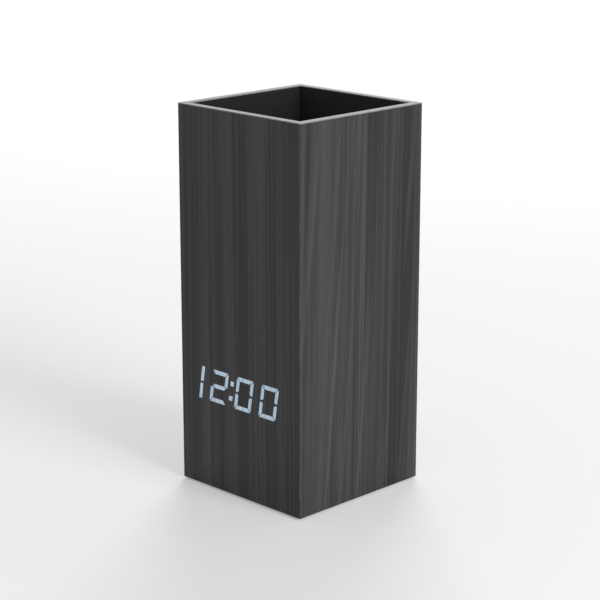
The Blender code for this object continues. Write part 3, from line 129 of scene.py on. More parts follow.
def makeVeneerFilm():
    values = veneerValues
    material, tree, place = newMaterial("printedAshFilm")
    axes = addNode(tree, "SeparateXYZ", links={"Vector": place})
    across = addNode(tree, "Math", {"operation": "ABSOLUTE"}, {0: axes.outputs[0]})
    along = addNode(tree, "Math", {"operation": "ABSOLUTE"}, {0: axes.outputs[1]})
    onSides = addNode(tree, "Math", {"operation": "GREATER_THAN"}, {0: across, 1: along})
    rise = addNode(tree, "Math", {"operation": "MULTIPLY"}, {0: axes.outputs[2], 1: onSides})
    patterns = {}
    for name, (size, lean, detail, shift) in values["patterns"].items():
        settings = {"operation": "MULTIPLY_ADD", 1: (0, -math.tan(math.radians(lean)), 0)}
        leaned = addNode(tree, "VectorMath", settings, {0: rise, 2: place})
        settings = {**grainScale(*size), "Location": (0, shift * mm, 0)}
        grains = addNode(tree, "Mapping", settings, {"Vector": leaned})
        patterns[name] = addNode(tree, "TexNoise", {"Scale": 1.0, "Detail": detail}, {"Vector": grains})
    shown = {}
    for name, (start, full, most) in values["shows"].items():
        settings = {"From Min": start, "From Max": full, "To Max": most}
        shown[name] = addNode(tree, "MapRange", settings, {"Value": patterns[name]})
    share = values["fineShare"]
    broad = addNode(tree, "Math", {"operation": "MULTIPLY", 1: 1 - share}, {0: patterns["broad"]})
    tone = addNode(tree, "Math", {"operation": "MULTIPLY_ADD", 1: share}, {0: patterns["fine"], 2: broad})
    grain = addNode(tree, "ValToRGB", {"stops": values["stops"]}, {"Fac": tone})
    streaks = addNode(tree, "Math", {"operation": "MAXIMUM"}, {0: shown["leaning"], 1: shown["straight"]})
    streaked = addNode(tree, "Mix", {"data_type": "RGBA", 7: values["streak"]}, {0: streaks, 6: grain})
    links = {0: shown["pores"], 6: streaked.outputs[2]}
    pored = addNode(tree, "Mix", {"data_type": "RGBA", 7: values["pore"]}, links)
    nearer = addNode(tree, "Math", {"operation": "MINIMUM"}, {0: across, 1: along})    # rubbed at the corners, and lighter there as a painted highlight on the rounded edge
    start, full, most = values["corner"]
    settings = {"From Min": start * mm, "From Max": full * mm, "To Max": most}
    corner = addNode(tree, "MapRange", settings, {"Value": nearer})
    wearAndHighlight = addNode(tree, "Math", {"operation": "MULTIPLY"}, {0: corner, 1: shown["rubbingAndHighlight"]})
    # the vertical corners are painted lighter: partly wear, partly a painted highlight where the rounded edge
    # would catch light
    colour = addNode(tree, "Mix", {"data_type": "RGBA", 7: values["wornAndHighlight"]}, {0: wearAndHighlight, 6: pored.outputs[2]})
    low, high = values["sheen"]
    settings = {"From Min": noiseSpan[0], "From Max": noiseSpan[1], "To Min": low, "To Max": high}
    sheen = addNode(tree, "MapRange", settings, {"Value": tone})
    settings = {"operation": "MULTIPLY_ADD", 1: -values["poreDepth"]}
    relief = addNode(tree, "Math", settings, {0: shown["pores"], 2: patterns["fine"]})
    settings = {"Strength": 0.5, "Distance": values["reliefDepth"] * mm}
    bump = addNode(tree, "Bump", settings, {"Height": relief})
    settings = {"IOR": 1.45, "Specular IOR Level": values["specular"]}
    links = {"Base Color": colour.outputs[2], "Roughness": sheen, "Normal": bump}
    shader = addNode(tree, "BsdfPrincipled", settings, links)
    addNode(tree, "OutputMaterial", links={"Surface": shader})
    return material


# Opal acrylic, lit from behind by white diodes. It shines through the film, so the film's grain
# dims the cool glow a little in upright lines.
litValues = {"body": "#8293a3", "stops": ((0.36, "#869cac"), (0.5, "#a8bac9"), (0.64, "#c0cfda")),
             "grain": (0.7, 0.7, 240), "glow": 0.7}


def makeLitAcrylic():
    values = litValues
    material, tree, place = newMaterial("litOpalAcrylic")
    grains = addNode(tree, "Mapping", grainScale(*values["grain"]), {"Vector": place})
    film = addNode(tree, "TexNoise", {"Scale": 1.0, "Detail": 3.0}, {"Vector": grains})
    glow = addNode(tree, "ValToRGB", {"stops": values["stops"]}, {"Fac": film})
    settings = {"Base Color": values["body"], "Roughness": 0.6, "Emission Strength": values["glow"]}
    shader = addNode(tree, "BsdfPrincipled", settings, {"Emission Color": glow})
    addNode(tree, "OutputMaterial", links={"Surface": shader})
    return material


# Fibreboard, stained black, and pine, sawn. Fibres or rings run along one grain, with a rough surface.
timberValues = {
    "stainedFibreboard": {    # matt, with pressed fibres that barely show
        "grain": (0.5, 0.5, 2.2), "detail": 4.0, "depth": 0.06, "roughness": 0.88,
        "stops": ((0.3, "#0b0a0a"), (0.55, "#121110"), (0.8, "#1a1817"))},
    "sawnPine": {    # warm, with rings a few millimetres apart
        "grain": (1.4, 5, 30), "detail": 2.0, "depth": 0.08, "roughness": 0.8,
        "stops": ((0.35, "#b98d58"), (0.5, "#cfa672"), (0.65, "#dcb985"))},
}


def makeTimber(name):
    values = timberValues[name]
    material, tree, place = newMaterial(name)
    grains = addNode(tree, "Mapping", grainScale(*values["grain"]), {"Vector": place})
    fibres = addNode(tree, "TexNoise", {"Scale": 1.0, "Detail": values["detail"]}, {"Vector": grains})
    colour = addNode(tree, "ValToRGB", {"stops": values["stops"]}, {"Fac": fibres})
    bump = addNode(tree, "Bump", {"Strength": 0.6, "Distance": values["depth"] * mm}, {"Height": fibres})
    settings = {"Roughness": values["roughness"], "IOR": 1.45}
    shader = addNode(tree, "BsdfPrincipled", settings, {"Base Color": colour, "Normal": bump})
    addNode(tree, "OutputMaterial", links={"Surface": shader})
    return material


# Plastics and rubbers, moulded or extruded. Each has slow clouds of colour from the flow of the
# melt and a fine surface grain from its tool, both given in mm.
plasticValues = {
    "texturedAbs": {    # ABS against a spark-eroded tool: black with an even matt tooth
        "colours": ("#181819", "#202021"), "clouds": 9, "grain": 0.35, "depth": 0.03,
        "roughness": 0.55, "ior": 1.53},
    "polishedAbs": {    # ABS against a polished tool: black, with a soft reflection
        "colours": ("#212122", "#2a2a2b"), "clouds": 9, "grain": 1.2, "depth": 0.01,
        "roughness": 0.28, "ior": 1.53},
    "trimmedAbsEdge": {    # ABS edge band, extruded and trimmed: plain light grey with faint scrapes
        "colours": ("#7b7b7a", "#8b8b8a"), "clouds": 2.5, "grain": 0.4, "depth": 0.03,
        "roughness": 0.64, "ior": 1.5},
    "greyFilledPbt": {    # PBT with glass fibre: plain mid grey, a little speckled
        "colours": ("#5e6062", "#717375"), "clouds": 0.4, "grain": 0.25, "depth": 0.01,
        "roughness": 0.5, "ior": 1.55},
    "whiteAcetal": {    # acetal, turned from rod: milky white with a soft gloss
        "colours": ("#dcdad3", "#e8e6df"), "clouds": 1.2, "grain": 0.6, "depth": 0.01,
        "roughness": 0.35, "ior": 1.48},
    "whitePolycarbonate": {    # polycarbonate filled white: the dull reflector behind the digits
        "colours": ("#d9d8d2", "#e6e5df"), "clouds": 3, "grain": 0.3, "depth": 0.01,
        "roughness": 0.45, "ior": 1.58},
    "elastomerPad": {    # thermoplastic elastomer: dull near black that greys where it is handled
        "colours": ("#191919", "#2b2b2a"), "clouds": 1.1, "grain": 0.35, "depth": 0.03,
        "roughness": 0.8, "ior": 1.5},
    "mouldedEpoxy": {    # epoxy, transfer moulded round a chip: dense dark grey, fine and matt
        "colours": ("#1d1e20", "#28292b"), "clouds": 0.8, "grain": 0.2, "depth": 0.02,
        "roughness": 0.6, "ior": 1.55},
    "wireSilicone": {    # silicone sleeve, extruded: soft red with a satin skin
        "colours": ("#8d1c19", "#a32421"), "clouds": 2, "grain": 0.5, "depth": 0.01,
        "roughness": 0.5, "ior": 1.43},
    "firedCeramic": {    # ceramic, pressed and fired: tan and matt, a little uneven
        "colours": ("#9c8157", "#b1966b"), "clouds": 0.9, "grain": 0.2, "depth": 0.01,
        "roughness": 0.5, "ior": 1.6},
    "shrunkPetSleeve": {    # polyester film, shrunk round a can: deep blue with a soft gloss
        "colours": ("#1b2740", "#24324f"), "clouds": 1.6, "grain": 0.5, "depth": 0.01,
        "roughness": 0.3, "ior": 1.57},
    "padPrintedInk": {    # ink, pad printed on raised marks: a thin grey white that wears in spots
        "colours": ("#a3a4a4", "#cfd0d0"), "clouds": 0.3, "grain": 0.2, "depth": 0.01,
        "roughness": 0.6, "ior": 1.5},
}


def makePlastic(name):
    values = plasticValues[name]
    material, tree, place = newMaterial(name)
    textures = []
    for size in (values["clouds"], values["grain"]):
        grains = addNode(tree, "Mapping", grainScale(size, size, size), {"Vector": place})
        textures.append(addNode(tree, "TexNoise", {"Scale": 1.0, "Detail": 2.5}, {"Vector": grains}))
    stops = tuple(zip(noiseSpan, values["colours"]))
    colour = addNode(tree, "ValToRGB", {"stops": stops}, {"Fac": textures[0]})
    bump = addNode(tree, "Bump", {"Strength": 0.5, "Distance": values["depth"] * mm}, {"Height": textures[1]})
    settings = {"Roughness": values["roughness"], "IOR": values["ior"]}
    shader = addNode(tree, "BsdfPrincipled", settings, {"Base Color": colour, "Normal": bump})
    addNode(tree, "OutputMaterial", links={"Surface": shader})
    return material


# Metals. The plating's colour and gloss both follow one fine pattern, so bright spots are smoother.
metalValues = {
    "zincPlatedSteel": {    # steel wire, headed and zinc plated: cool mid grey with cloudy marks
        "colours": ("#777a7e", "#93969a"), "grain": (0.6, 0.6, 0.6), "roughness": (0.26, 0.44)},
    "nickelPlatedStrip": {    # spring strip, stamped and nickel plated: warm, with rolling lines
        "colours": ("#bdb8ae", "#d2cdc3"), "grain": (0.2, 0.2, 6), "roughness": (0.2, 0.38)},
    "nickelPlatedWire": {    # music wire, coiled and nickel plated: bright, with fine drawing lines
        "colours": ("#b7b3aa", "#dad6cd"), "grain": (0.3, 0.3, 0.3), "roughness": (0.18, 0.32)},
    "drawnAluminium": {    # aluminium, drawn into cans: light grey and satin with faint drawing lines
        "colours": ("#b4b6b8", "#cbcdcf"), "grain": (0.25, 3, 0.25), "roughness": (0.28, 0.42)},
    "tinnedCopper": {    # copper strip, cut and dipped in tin: bright, with soft blotches
        "colours": ("#b3b4ae", "#d2d3cd"), "grain": (0.4, 0.4, 0.4), "roughness": (0.22, 0.38)},
    "goldPlatedStrip": {    # phosphor bronze, stamped and flash gold plated: pale gold and smooth
        "colours": ("#cfa95a", "#e0bf74"), "grain": (0.2, 2, 0.2), "roughness": (0.18, 0.3)},
}


def makeMetal(name):
    values = metalValues[name]
    material, tree, place = newMaterial(name)
    grains = addNode(tree, "Mapping", grainScale(*values["grain"]), {"Vector": place})
    marks = addNode(tree, "TexNoise", {"Scale": 1.0, "Detail": 3.0}, {"Vector": grains})
    smooth, rough = values["roughness"]
    colour = addNode(tree, "ValToRGB", {"stops": tuple(zip(noiseSpan, values["colours"]))}, {"Fac": marks})
    settings = {"From Min": 0.2, "From Max": 0.8, "To Min": rough, "To Max": smooth}
    gloss = addNode(tree, "MapRange", settings, {"Value": marks})
    shader = addNode(tree, "BsdfPrincipled", {"Metallic": 1.0}, {"Base Color": colour, "Roughness": gloss})
    addNode(tree, "OutputMaterial", links={"Surface": shader})
    return material


# Glass-fibre laminate under solder mask: green, with copper tracks that run square or slanting and
# show through a shade lighter, and tinned holes. The diodes and the chip on the display's board are
# one solid with it, so they are told by depth.
boardValues = {
    "trackPitch": 1.9,
    "tracks": ((0.0, "#256d3d"), (0.1, "#24693b"), (0.14, "#14502c"), (1.0, "#124827")),
    "holePitch": 5.08,
    "holeShare": 0.065,
    "hole": "#b9bbb0",
    "diodeHeight": 0.6,
    "diode": "#d8cf8e",
    "chipHeight": 1.4,
    "chip": "#1e1f21",
    "tellGap": 0.02,
    "trackDepth": 0.03,
}


def makeCircuitBoard(name, carriesParts):
    values = boardValues
    low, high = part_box(name)
    material, tree, place = newMaterial("solderMask" + name.replace("_pcb", "").title())
    axes = addNode(tree, "SeparateXYZ", links={"Vector": place})
    flat = addNode(tree, "CombineXYZ", links={"X": axes.outputs[0], "Y": axes.outputs[2]})
    pitch = values["trackPitch"]
    grains = addNode(tree, "Mapping", grainScale(pitch, pitch, pitch), {"Vector": flat})
    nearest = []
    for feature in ("F1", "F2"):
        settings = {"voronoi_dimensions": "2D", "feature": feature, "distance": "MANHATTAN", "Scale": 1.0,
                    "Randomness": 0.85}
        nearest.append(addNode(tree, "TexVoronoi", settings, {"Vector": grains}).outputs["Distance"])
    fromTrack = addNode(tree, "Math", {"operation": "SUBTRACT"}, {0: nearest[1], 1: nearest[0]})
    colour = addNode(tree, "ValToRGB", {"stops": values["tracks"]}, {"Fac": fromTrack}).outputs[0]
    pitch = values["holePitch"]
    grains = addNode(tree, "Mapping", grainScale(pitch, pitch, pitch), {"Vector": flat})
    settings = {"voronoi_dimensions": "2D", "Scale": 1.0}
    fromHole = addNode(tree, "TexVoronoi", settings, {"Vector": grains}).outputs["Distance"]
    isHole = addNode(tree, "Math", {"operation": "LESS_THAN", 1: values["holeShare"]}, {0: fromHole})
    settings = {"data_type": "RGBA", 7: values["hole"]}
    colour = addNode(tree, "Mix", settings, {0: isHole, 6: colour}).outputs[2]
    if carriesParts:
        front = low.y + (values["diodeHeight"] - values["tellGap"]) * mm
        back = high.y - (values["chipHeight"] - values["tellGap"]) * mm
        for operation, level, code in (("LESS_THAN", front, values["diode"]),
                                       ("GREATER_THAN", back, values["chip"])):
            isPart = addNode(tree, "Math", {"operation": operation, 1: level}, {0: axes.outputs[1]})
            colour = addNode(tree, "Mix", {"data_type": "RGBA", 7: code}, {0: isPart, 6: colour}).outputs[2]
    settings = {"Strength": 0.3, "Distance": values["trackDepth"] * mm, "invert": True}
    bump = addNode(tree, "Bump", settings, {"Height": fromTrack})
    settings = {"Roughness": 0.32, "IOR": 1.5}
    shader = addNode(tree, "BsdfPrincipled", settings, {"Base Color": colour, "Normal": bump})
    addNode(tree, "OutputMaterial", links={"Surface": shader})
    return material


# Flat ribbon of ten PVC-covered wires: grey ribs with painted shade in the grooves between wires,
# the first wire marked red, between two pale moulded nylon plugs
ribbonValues = {"pitch": 1.27, "grey": ((0.0, "#6a6c6e"), (0.12, "#94979a"), (1.0, "#a6a9ac")),
                "ribDepth": 0.3, "first": "#a52a26", "plug": "#d3ccb8", "plugDepth": 5.5}


def makeRibbonPvc():
    values = ribbonValues
    low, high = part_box("ribbon_cable")
    material, tree, place = newMaterial("ribbonPvc")
    axes = addNode(tree, "SeparateXYZ", links={"Vector": place})
    fromEdge = addNode(tree, "Math", {"operation": "SUBTRACT", 1: low.x}, {0: axes.outputs[0]})
    wires = addNode(tree, "Math", {"operation": "DIVIDE", 1: values["pitch"] * mm}, {0: fromEdge})
    ribs = addNode(tree, "Math", {"operation": "PINGPONG", 1: 0.5}, {0: wires})
    # each wire's grey, with painted shade darkest in the groove between wires and fading towards the wire's
    # crown
    grey = addNode(tree, "ValToRGB", {"stops": values["grey"]}, {"Fac": ribs})
    isFirst = addNode(tree, "Math", {"operation": "LESS_THAN", 1: 1.0}, {0: wires})
    colour = addNode(tree, "Mix", {"data_type": "RGBA", 7: values["first"]}, {0: isFirst, 6: grey})
    offset = addNode(tree, "Math", {"operation": "SUBTRACT", 1: (low.y + high.y) / 2}, {0: axes.outputs[1]})
    fromMiddle = addNode(tree, "Math", {"operation": "ABSOLUTE"}, {0: offset})
    plugFrom = (high.y - low.y) / 2 - values["plugDepth"] * mm
    isPlug = addNode(tree, "Math", {"operation": "GREATER_THAN", 1: plugFrom}, {0: fromMiddle})
    settings = {"data_type": "RGBA", 7: values["plug"]}
    colour = addNode(tree, "Mix", settings, {0: isPlug, 6: colour.outputs[2]})
    isWire = addNode(tree, "Math", {"operation": "SUBTRACT", 0: 1.0}, {1: isPlug})
    height = addNode(tree, "Math", {"operation": "MULTIPLY"}, {0: ribs, 1: isWire})
    settings = {"Strength": 0.8, "Distance": values["ribDepth"] * mm}
    bump = addNode(tree, "Bump", settings, {"Height": height})
    settings = {"Roughness": 0.45, "IOR": 1.52}
    shader = addNode(tree, "BsdfPrincipled", settings, {"Base Color": colour.outputs[2], "Normal": bump})
    addNode(tree, "OutputMaterial", links={"Surface": shader})
    return material


# Steel can in a printed PVC sleeve: dark sleeve with a grey band at the tip, bare steel at both ends
cellValues = {"sleeve": "#22262b", "band": "#8c9aa5", "steel": "#b9bab8", "bandLength": 9.0, "cap": 1.5,
              "base": 0.25, "scuffs": (2, 0.5, 0.5), "sheen": (0.22, 0.36)}


def makeCellSleeve(name, tipSide):
    values = cellValues
    low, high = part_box(name)
    tip = high.x if tipSide > 0 else low.x
    material, tree, place = newMaterial("sleevedCellRight" if tipSide > 0 else "sleevedCellLeft")
    along = addNode(tree, "SeparateXYZ", links={"Vector": place}).outputs[0]
    offset = addNode(tree, "Math", {"operation": "SUBTRACT", 1: tip}, {0: along})
    fromTip = addNode(tree, "Math", {"operation": "ABSOLUTE"}, {0: offset})
    inBand = addNode(tree, "Math", {"operation": "LESS_THAN", 1: values["bandLength"] * mm}, {0: fromTip})
    inCap = addNode(tree, "Math", {"operation": "LESS_THAN", 1: values["cap"] * mm}, {0: fromTip})
    baseFrom = high.x - low.x - values["base"] * mm
    inBase = addNode(tree, "Math", {"operation": "GREATER_THAN", 1: baseFrom}, {0: fromTip})
    bare = addNode(tree, "Math", {"operation": "MAXIMUM"}, {0: inCap, 1: inBase})
    sleeve = addNode(tree, "Mix", {"data_type": "RGBA", 6: values["sleeve"], 7: values["band"]}, {0: inBand})
    colour = addNode(tree, "Mix", {"data_type": "RGBA", 7: values["steel"]}, {0: bare, 6: sleeve.outputs[2]})
    grains = addNode(tree, "Mapping", grainScale(*values["scuffs"]), {"Vector": place})
    scuffs = addNode(tree, "TexNoise", {"Scale": 1.0, "Detail": 3.0}, {"Vector": grains})
    least, most = values["sheen"]
    settings = {"From Min": noiseSpan[0], "From Max": noiseSpan[1], "To Min": least, "To Max": most}
    gloss = addNode(tree, "MapRange", settings, {"Value": scuffs})
    links = {"Base Color": colour.outputs[2], "Metallic": bare, "Roughness": gloss}
    shader = addNode(tree, "BsdfPrincipled", {"IOR": 1.5}, links)
    addNode(tree, "OutputMaterial", links={"Surface": shader})
    return material


# Steel shell, drawn and nickel plated, round a black liquid-crystal polymer tongue
inletValues = {"shell": ("#9a9b9a", "#b3b4b3"), "grain": (0.5, 3, 0.5), "tongue": "#161617",
               "tongueReach": (3.4, 0.5)}


def makeInletShell():
    values = inletValues
    low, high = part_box("power_inlet")
    centre = (low + high) / 2
    material, tree, place = newMaterial("nickelPlatedShell")
    axes = addNode(tree, "SeparateXYZ", links={"Vector": place})
    inside = []
    width, height = values["tongueReach"]
    for axis, middle, reach in ((0, centre.x, width), (2, centre.z, height)):
        settings = {"operation": "COMPARE", 1: middle, 2: reach * mm}
        inside.append(addNode(tree, "Math", settings, {0: axes.outputs[axis]}))
    isTongue = addNode(tree, "Math", {"operation": "MINIMUM"}, {0: inside[0], 1: inside[1]})
    grains = addNode(tree, "Mapping", grainScale(*values["grain"]), {"Vector": place})
    marks = addNode(tree, "TexNoise", {"Scale": 1.0, "Detail": 3.0}, {"Vector": grains})
    shell = addNode(tree, "ValToRGB", {"stops": tuple(zip(noiseSpan, values["shell"]))}, {"Fac": marks})
    colour = addNode(tree, "Mix", {"data_type": "RGBA", 7: values["tongue"]}, {0: isTongue, 6: shell})
    metal = addNode(tree, "Math", {"operation": "SUBTRACT", 0: 1.0}, {1: isTongue})
    links = {"Base Color": colour.outputs[2], "Metallic": metal}
    shader = addNode(tree, "BsdfPrincipled", {"Roughness": 0.33}, links)
    addNode(tree, "OutputMaterial", links={"Surface": shader})
    return material


plastics = {name: makePlastic(name) for name in plasticValues}
metals = {name: makeMetal(name) for name in metalValues}
board = makeTimber("stainedFibreboard")

paint(makeVeneerFilm(), "veneer_wrap")
paint(plastics["trimmedAbsEdge"], "rim_edge_band")
paint(board, "board_front", "board_right", "board_back", "board_left", "well_floor")
paint(makeTimber("sawnPine"), "glue_block_1", "glue_block_2", "glue_block_3", "glue_block_4")
paint(makeLitAcrylic(), "light_guide")
paint(plastics["whitePolycarbonate"], "light_box")
paint(makeCircuitBoard("display_pcb", True), "display_pcb")
paint(makeCircuitBoard("main_pcb", False), "main_pcb")
for name in nodes:
    if "screw" in name:
        paint(metals["zincPlatedSteel"], name)
    elif name.startswith("contact") or name == "coin_cell":
        paint(metals["nickelPlatedStrip"], name)
    elif name.startswith(("switch", "eco_switch_body")):
        paint(plastics["greyFilledPbt"], name)
    elif name.startswith("plunger"):
        paint(plastics["whiteAcetal"], name)
    elif name.startswith("foot"):
        paint(plastics["elastomerPad"], name)
paint(plastics["texturedAbs"], "control_bezel", "base_cover", "battery_door", "coin_cell_holder")
paint(plastics["polishedAbs"], "button_set", "button_up", "button_down", "eco_switch_knob", "buzzer")
paint(plastics["mouldedEpoxy"], "controller_chip", "temperature_sensor")
paint(metals["drawnAluminium"], "microphone")
paint(makeInletShell(), "power_inlet")
paint(makeRibbonPvc(), "ribbon_cable")
paint(plastics["wireSilicone"], "battery_lead")
cellSleeves = {1: makeCellSleeve("battery_cell_1", 1), -1: makeCellSleeve("battery_cell_2", -1)}
print("materials done")


# Tools for modelling

straight = 0.9    # the cosine past which a face or an edge counts as lying along a direction
roundSides = 32    # how many flat sides a round piece is drawn with
smoothAngle = 35    # degrees between faces past which an edge stays sharp
weld = 0.001    # mm within which corners are one: where two bevels meet, or a cap closes a wire


def useOnly(piece):
    bpy.ops.object.select_all(action="DESELECT")
    piece.select_set(True)
    bpy.context.view_layer.objects.active = piece


def selectNone(kind):
    bpy.ops.object.mode_set(mode="EDIT")
    bpy.ops.mesh.select_mode(type=kind)
    bpy.ops.mesh.select_all(action="DESELECT")
    bpy.ops.object.mode_set(mode="OBJECT")


# Leaves edit mode on, with the faces that look one way selected, or only those whose middle is
# within reach mm of the line through near
def selectFaces(piece, direction, near=None, reach=0):
    selectNone("FACE")
    turn = piece.matrix_world.to_3x3()
    for face in piece.data.polygons:
        face.select = (turn @ face.normal).normalized().dot(Vector(direction)) > straight
        if near is not None:
            aside = (piece.matrix_world @ face.center - Vector(near)).cross(Vector(direction)).length
            face.select = face.select and aside < reach * mm
    bpy.ops.object.mode_set(mode="EDIT")


def extrudeBy(*move):    # in mm
    bpy.ops.mesh.extrude_region_move(TRANSFORM_OT_translate={"value": toMetres(*move)})


def stepFaces(piece, direction, steps, near=None, reach=0):    # each step's inset and its rise, in mm
    selectFaces(piece, direction, near, reach)
    for inset, rise in steps:
        if inset:
            bpy.ops.mesh.inset(thickness=inset * mm)
        extrudeBy(*[share * rise for share in direction])
    bpy.ops.object.mode_set(mode="OBJECT")


def applyModifier(piece, modifier):
    bpy.context.view_layer.objects.active = piece
    bpy.ops.object.modifier_apply(modifier=modifier.name)


def addBevel(piece, width, segments):    # a rounded edge, in mm
    bevel = piece.modifiers.new("bevel", "BEVEL")
    bevel.width = width * mm
    bevel.segments = segments
    bevel.limit_method = "ANGLE"
    applyModifier(piece, bevel)


def addBlock(place, size):    # a box to start from, in metres
    bpy.ops.object.select_all(action="DESELECT")
    bpy.ops.mesh.primitive_cube_add(size=1, location=place)
    piece = bpy.context.object
    piece.scale = size
    bpy.ops.object.transform_apply(location=False, rotation=False, scale=True)
    return piece


def addBar(place, direction, radius, depth):    # a round bar to start from, radius in mm and depth in metres
    turn = Vector(direction).to_track_quat("Z", "Y").to_euler()
    bpy.ops.object.select_all(action="DESELECT")
    bpy.ops.mesh.primitive_cylinder_add(vertices=roundSides, radius=radius * mm, depth=depth,
                                        location=place, rotation=turn)
    return bpy.context.object


def addRow(piece, count, step):    # copies along a step in mm
    row = piece.modifiers.new("row", "ARRAY")
    row.count = count
    row.use_relative_offset = False
    row.use_constant_offset = True
    row.constant_offset_displace = toMetres(*step)
    applyModifier(piece, row)


def roundCorners(piece, axis, radius):    # rounds the edges that run along one axis, in mm
    selectNone("EDGE")
    for edge in piece.data.edges:
        first, second = (piece.data.vertices[index].co for index in edge.vertices)
        run = second - first
        edge.select = abs(run[axis]) > straight * run.length
    bpy.ops.object.mode_set(mode="EDIT")
    bpy.ops.mesh.bevel(offset=radius * mm, segments=5, affect="EDGES")
    bpy.ops.object.mode_set(mode="OBJECT")


def joinPieces(pieces):
    bpy.ops.object.select_all(action="DESELECT")
    for piece in pieces:
        piece.select_set(True)
    bpy.context.view_layer.objects.active = pieces[0]
    if len(pieces) > 1:
        bpy.ops.object.join()
    return pieces[0]


def finishPiece(piece, name, material, body):    # place into the mesh, then name, finish and body
    useOnly(piece)
    bpy.ops.object.transform_apply(location=True, rotation=True, scale=True)
    bpy.ops.object.mode_set(mode="EDIT")
    bpy.ops.mesh.select_all(action="SELECT")
    bpy.ops.mesh.remove_doubles(threshold=weld * mm)
    bpy.ops.mesh.normals_make_consistent(inside=False)
    bpy.ops.object.mode_set(mode="OBJECT")
    bpy.ops.object.shade_smooth_by_angle(angle=math.radians(smoothAngle))
    piece.name = name
    piece.data.name = name
    piece.data.materials.clear()
    piece.data.materials.append(material)
    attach(piece, body)


# Raised marks above the buttons and beside the slide switch: a ring to set, arrowheads for up and
# down, and a ring and a dot for the two ends of the switch
markValues = {
    "height": 0.3,
    "sink": 0.05,
    "pocketDepth": 1.0,
    "aboveButton": 5.3,
    "ringRadius": 1.05,
    "ringWidth": 0.42,
    "arrowRadius": 1.25,
    "switchReach": 4.1,
    "switchRing": (0.75, 0.3),
    "switchDot": 0.6,
    "ringFloor": 0.04,
    "edge": 0.07,
}


def makeMark(name, x, z, corners, radius, turn, ringWidth):
    values = markValues
    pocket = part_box("control_bezel")[1].y - values["pocketDepth"] * mm
    rise = (values["height"] + values["sink"]) * mm
    place = (x, pocket - values["sink"] * mm + rise / 2, z)
    bpy.ops.object.select_all(action="DESELECT")
    bpy.ops.mesh.primitive_cylinder_add(vertices=corners, radius=radius * mm, depth=rise, location=place,
                                        rotation=(math.radians(turn), 0, 0))
    piece = bpy.context.object
    if ringWidth:
        stepFaces(piece, (0, 1, 0), [(ringWidth, values["ringFloor"] - rise / mm)])
    else:
        selectFaces(piece, (0, 1, 0))
        bpy.ops.mesh.inset(thickness=values["edge"] * mm, depth=values["edge"] * mm)    # a crowned top
        bpy.ops.object.mode_set(mode="OBJECT")
    addBevel(piece, values["edge"], 2)
    finishPiece(piece, name, plastics["padPrintedInk"], "case")


def makeMarks():
    values = markValues
    arrow = values["arrowRadius"]
    for name, corners, radius, turn, ring in (
            ("set", roundSides, values["ringRadius"], 90, values["ringWidth"]),
            ("up", 3, arrow, 90, 0),
            ("down", 3, arrow, -90, 0)):
        low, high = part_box("button_" + name)
        z = (low.z + high.z) / 2 + values["aboveButton"] * mm
        makeMark("mark_" + name, (low.x + high.x) / 2, z, corners, radius, turn, ring)
    low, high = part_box("eco_switch_body")
    x, z = (low.x + high.x) / 2, (low.z + high.z) / 2
    reach = values["switchReach"] * mm
    radius, width = values["switchRing"]
    makeMark("mark_eco_off", x - reach, z, roundSides, radius, 90, width)
    makeMark("mark_eco_on", x + reach, z, roundSides, values["switchDot"], 90, 0)


makeMarks()
print("marks done")


# Gold contact strips on both faces of the inlet's tongue
stripValues = {"count": 8, "pitch": 0.72, "width": 0.34, "length": 3.2, "thickness": 0.08, "sink": 0.03,
               "nose": (0.15, 0.03), "edge": 0.02,    # a nose's reach and its dip
               "tongueThickness": 0.7, "fromMouth": 1.15}


def makeInletStrips():
    values = stripValues
    low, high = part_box("power_inlet")
    centre = (low + high) / 2
    for side, name in ((1, "upper"), (-1, "lower")):
        rise = values["tongueThickness"] / 2 + values["thickness"] / 2 - values["sink"]
        x = centre.x - (values["count"] - 1) / 2 * values["pitch"] * mm
        place = (x, high.y - (values["fromMouth"] + values["length"] / 2) * mm, centre.z + side * rise * mm)
        piece = addBlock(place, toMetres(values["width"], values["length"], values["thickness"]))
        selectFaces(piece, (0, 1, 0))
        reach, dip = values["nose"]
        extrudeBy(0, reach, -side * dip)
        bpy.ops.object.mode_set(mode="OBJECT")
        addBevel(piece, values["edge"], 1)
        addRow(piece, values["count"], (values["pitch"], 0, 0))
        finishPiece(piece, "inlet_strips_" + name, metals["goldPlatedStrip"], "case")


makeInletStrips()
print("inlet strips done")


# Battery contacts: a stamped plate with rounded corners, a pressed stud against each tip and a
# tapering coil spring against each flat end
contactValues = {
    "thickness": 0.4,
    "cornerRadius": 0.9,
    "plateEdge": 0.06,
    "stud": (1.6, 0.5, 0.12, 0.25),    # radius, rim, dimple and edge
    "springRadii": (3.0, 1.7),
    "wire": 0.45,
    "turns": 3,
    "flatShare": 0.12,
    "stepsPerTurn": 20,
    "cellPitch": 11.0,
    "nodes": {    # the side of the battery room, then each cell's row and what meets it
        "contact_negative": (-1, {-1: "spring"}),
        "contact_bridge_right": (1, {-1: "stud", 0: "spring"}),
        "contact_bridge_left": (-1, {0: "stud", 1: "spring"}),
        "contact_positive": (1, {1: "stud"}),
    },
}


